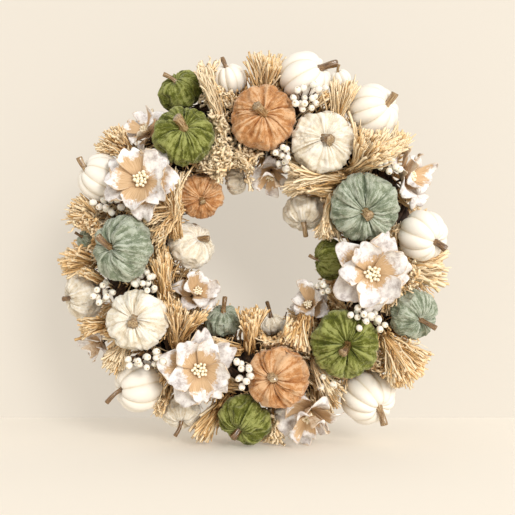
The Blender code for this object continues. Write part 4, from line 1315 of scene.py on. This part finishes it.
def strand_lines(roots, ways, lengths, curl, rng):
    """(count, steps, 3) lines: root + length * (t * way + bow * t squared * side + curl * a wave of t)."""
    count = len(roots)
    t = np.linspace(0, 1, STRAW_STEPS)[None, :, None]
    side = unit(np.cross(ways, unit(rng.normal(0, 1, (count, 3)))))[:, None]
    other = np.cross(ways[:, None], side)
    bow = rng.normal(0, 0.10 + 0.14 * curl, (count, 1, 1))
    pace, start = rng.uniform(3, 6 + 5 * curl, (count, 1, 1)), rng.uniform(0, 6.3, (count, 1, 1))
    wave = 0.055 * curl * t * np.sin(pace * t + start)
    swing = 0.055 * curl * t * np.cos(pace * t + start)
    kink = (0.03 + 0.10 * curl) * np.abs(((t * (1.6 + 1.6 * curl) + start) % 1.0) - 0.5)
    reach = ways[:, None] * t + side * (bow * t**2 + wave + kink) + other * swing
    return roots[:, None] + reach * lengths[:, None, None]


def straw_skin(lines, widths, rng):
    """Strips of triangular section along lines. A strip's flat side faces the front, give or take a
    random tilt, and it twists by a random angle from root to tip."""
    count = len(lines)
    along = unit(np.gradient(lines, axis=1))
    face = FRONT + 0.55 * rng.normal(0, 1, (count, 1, 3))
    x = unit(np.cross(along, np.broadcast_to(face, along.shape)))
    y = np.cross(x, along)
    twist = rng.normal(0, 0.5, (count, 1, 1)) * np.linspace(0, 1, STRAW_STEPS)[:, None]
    x, y = x * np.cos(twist) + y * np.sin(twist), y * np.cos(twist) - x * np.sin(twist)
    size = widths[:, None] * np.linspace(0.8, 1.0, STRAW_STEPS)
    section = x[:, :, None] * STRAW_SECTION[:, :1] + y[:, :, None] * STRAW_SECTION[:, 1:]
    return lines[:, :, None] + section * size[..., None, None]


def hiding(points, share=0.80):
    """True for points (..., 3) in front of an ornament's middle and nearer to it, seen from the
    front, than this share of its radius."""
    found = np.zeros(points.shape[:-1], bool)
    for middle, width, _, _ in ornament_balls:
        away = points - middle
        found |= (np.hypot(away[..., 0], away[..., 2]) < width / 2 * share) & (away[..., 1] < 0)
    return found


LOOP_MIDDLE = (loop_low + loop_high) / 2
LOOP_ROOM = (loop_high - loop_low) / 2 + LOOP_CLEARANCE


def clear_strands(lines, wanted):
    """Indices of the first wanted lines that stay out of the ornaments past their roots, don't hide
    them from the front, leave the hanging loop room to turn and don't reach below the wreath."""
    bad = (depth_inside(lines[:, 2:]) < 1).any(1) | hiding(lines[:, 2:]).any(1)
    bad |= lines[..., 2].min(1) < cad_box[0].z
    bad |= (np.abs(lines - LOOP_MIDDLE) < LOOP_ROOM).all(-1).any(1)
    return np.flatnonzero(~bad)[:wanted]


def add_straw(name, lines, widths, tones, rng):
    """Straw along lines; each strand's tone rises from root to tip, so the root is darker, which is painted
    shade deep in the tuft.
    """
    skin = straw_skin(lines, widths, rng)
    # Painted shade: every strand is darker towards its root.
    tones = np.clip(tones[:, None] + np.linspace(-0.34, 0.14, STRAW_STEPS), 0, 1)
    tones = np.repeat(tones.ravel(), len(STRAW_SECTION))
    faces, uv = skin_faces(len(lines), STRAW_STEPS, len(STRAW_SECTION))
    return add_piece(name, skin, faces, uv, [dried_straw], "straw", tones=tones)


def tuft_strands(root, run, length, fan, curl, count, rng, clumps=9):
    """Strands that fan out from a root: their ways are a clump's angles in the fan and square to it,
    with a few degrees more for each strand."""
    side = unit(np.cross(run, FRONT))
    up = np.cross(side, run)
    clump = rng.integers(0, clumps, count)
    turn = np.radians(rng.uniform(-fan, fan, clumps)[clump] + rng.normal(0, 6.5, count))[:, None]
    tip = np.radians(rng.uniform(-20, 26, clumps)[clump] + rng.normal(0, 7, count))[:, None]
    ways = unit(run * np.cos(turn) * np.cos(tip) + side * np.sin(turn) + up * np.sin(tip))
    lengths = length * rng.uniform(0.84, 1.04, clumps)[clump] * rng.uniform(0.90, 1.03, count)
    roots = root + rng.normal(0, 0.0028, (count, 3))
    return strand_lines(roots, ways, lengths, curl, rng)


for index, row in enumerate(TUFTS):
    name, clock, reach, forward, run_clock, slope, length, fan, count, shade, curl, breadth, stands = row
    rng = np.random.default_rng(700 + index)
    root, run = place_of(clock, reach, forward), clock_ways(run_clock, slope)
    lines = tuft_strands(root, run, length * 0.001, fan, curl, count * TRIES, rng)
    kept = clear_strands(lines, count)
    widths = breadth * STRAW_HALF * rng.uniform(0.6, 1.4, len(kept))
    tones = np.clip(shade + rng.normal(0, 0.25, len(kept)), 0, 1)
    made = add_straw(f"{name}_tuft", lines[kept], widths, tones, rng)
    if stands:
        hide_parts(name)

for index, row in enumerate(SHAVINGS):
    name, clock, reach, forward, run_clock, length, breadth, count, shade = row
    rng = np.random.default_rng(800 + index)
    run = clock_ways(run_clock)
    side = np.cross(run, FRONT)
    spots = rng.uniform(-0.0005, 0.0005, (count * FLAKE_TRIES, 2)) * (length, breadth)
    roots = place_of(clock, reach, forward) + spots[:, :1] * run + spots[:, 1:] * side
    roots[:, 1] += rng.uniform(-0.010, 0.016, len(roots))
    ways = unit(rng.normal(0, 0.8, roots.shape) + FRONT * 0.9)
    lines = strand_lines(roots, ways, rng.uniform(*FLAKE_LENGTHS, len(roots)), 1.6, rng)
    kept = clear_strands(lines, count)
    tones = np.clip(shade + rng.normal(0, 0.16, len(kept)), 0, 1)
    add_straw(name, lines[kept], rng.uniform(*FLAKE_HALVES, len(kept)), tones, rng)

BED_PATCHES, BED_TUFTS, BED_STRANDS = 4, 58, 34  # tufts to a patch, strands to a tuft
BED_REACH, TWIG_REACH = 0.031, 0.034  # roots' distance from the middle of the rope of hanks
TWIGS, TWIG_RADIUS, TWIG_COLUMNS = 220, 0.0008, 5


def rooted_on_ring(lowest, highest, reach, count, rng):
    """(roots, outward ways) on the ring's rope, at turns round it between these degrees: 0 is the
    outer side, 90 the front and 180 the inner side."""
    lap = rng.uniform(0, 2 * np.pi, count)
    turn = rng.uniform(math.radians(lowest), math.radians(highest), count)
    roots = ring_points(lap, reach * np.cos(turn), reach * np.sin(turn))
    return roots, unit(roots - ring_points(lap, 0 * lap, 0 * lap))


rng = np.random.default_rng(900)
for patch in range(BED_PATCHES):
    roots, ways = rooted_on_ring(-25, 205, BED_REACH, BED_TUFTS, rng)
    ways = unit(ways + 0.75 * unit(rng.normal(0, 1, roots.shape)))
    root_of = np.repeat(np.arange(BED_TUFTS), BED_STRANDS)
    count = len(root_of)
    ways = unit(ways[root_of] + rng.normal(0, 0.24, (count, 3)))
    lengths = rng.uniform(0.030, 0.044, BED_TUFTS)[root_of] * rng.uniform(0.8, 1.05, count)
    lines = strand_lines(roots[root_of] + rng.normal(0, 0.003, (count, 3)), ways, lengths, 0.7, rng)
    kept = clear_strands(lines, count)
    tones = rng.uniform(0.15, 0.75, BED_TUFTS)[root_of] + rng.normal(0, 0.16, count)
    tones = np.clip(tones, 0, 1)[kept]
    widths = rng.uniform(0.0007, 0.0013, len(kept))
    add_straw(f"straw_bed_{patch + 1}", lines[kept], widths, tones, rng)

roots, ways = rooted_on_ring(-15, 195, TWIG_REACH, TWIGS, rng)
ways = unit(ways * 0.55 + rng.normal(0, 0.7, roots.shape))
lines = strand_lines(roots, ways, rng.uniform(0.018, 0.036, TWIGS), 0.8, rng)
lines = lines[clear_strands(lines, TWIGS)]
twigs = tube_rings(lines, (0.3, 0.2, 0.93), TWIG_RADIUS, TWIG_COLUMNS)
faces, uv = skin_faces(len(lines), STRAW_STEPS, TWIG_COLUMNS)
add_piece("dry_twigs", twigs, faces, uv, [twig_wrap], "vine")

# ---------------------------------------------------------------------------------------------
# Picks: each ornament is glued on a thin wire pick that is pushed in among the vines.
# ---------------------------------------------------------------------------------------------

PICK_RADIUS, PICK_COLUMNS = 0.0014, 8
PICK_FOOT = 0.015  # the picks end this far in front of the ring's middle line

starts = np.array([ball[0] for ball in ornament_balls])
across = starts - MIDDLE
across[:, 1] = 0
ends = MIDDLE + unit(across) * RING + FRONT * PICK_FOOT
picks = np.stack([starts + (ends - starts) * t for t in (0.0, 0.5, 1.0)], 1)
picks = tube_rings(picks, (0.2, 0.35, 0.9), PICK_RADIUS, PICK_COLUMNS)
add_piece("wire_picks", picks, *skin_faces(len(starts), 3, PICK_COLUMNS), [twig_wrap], "wire")
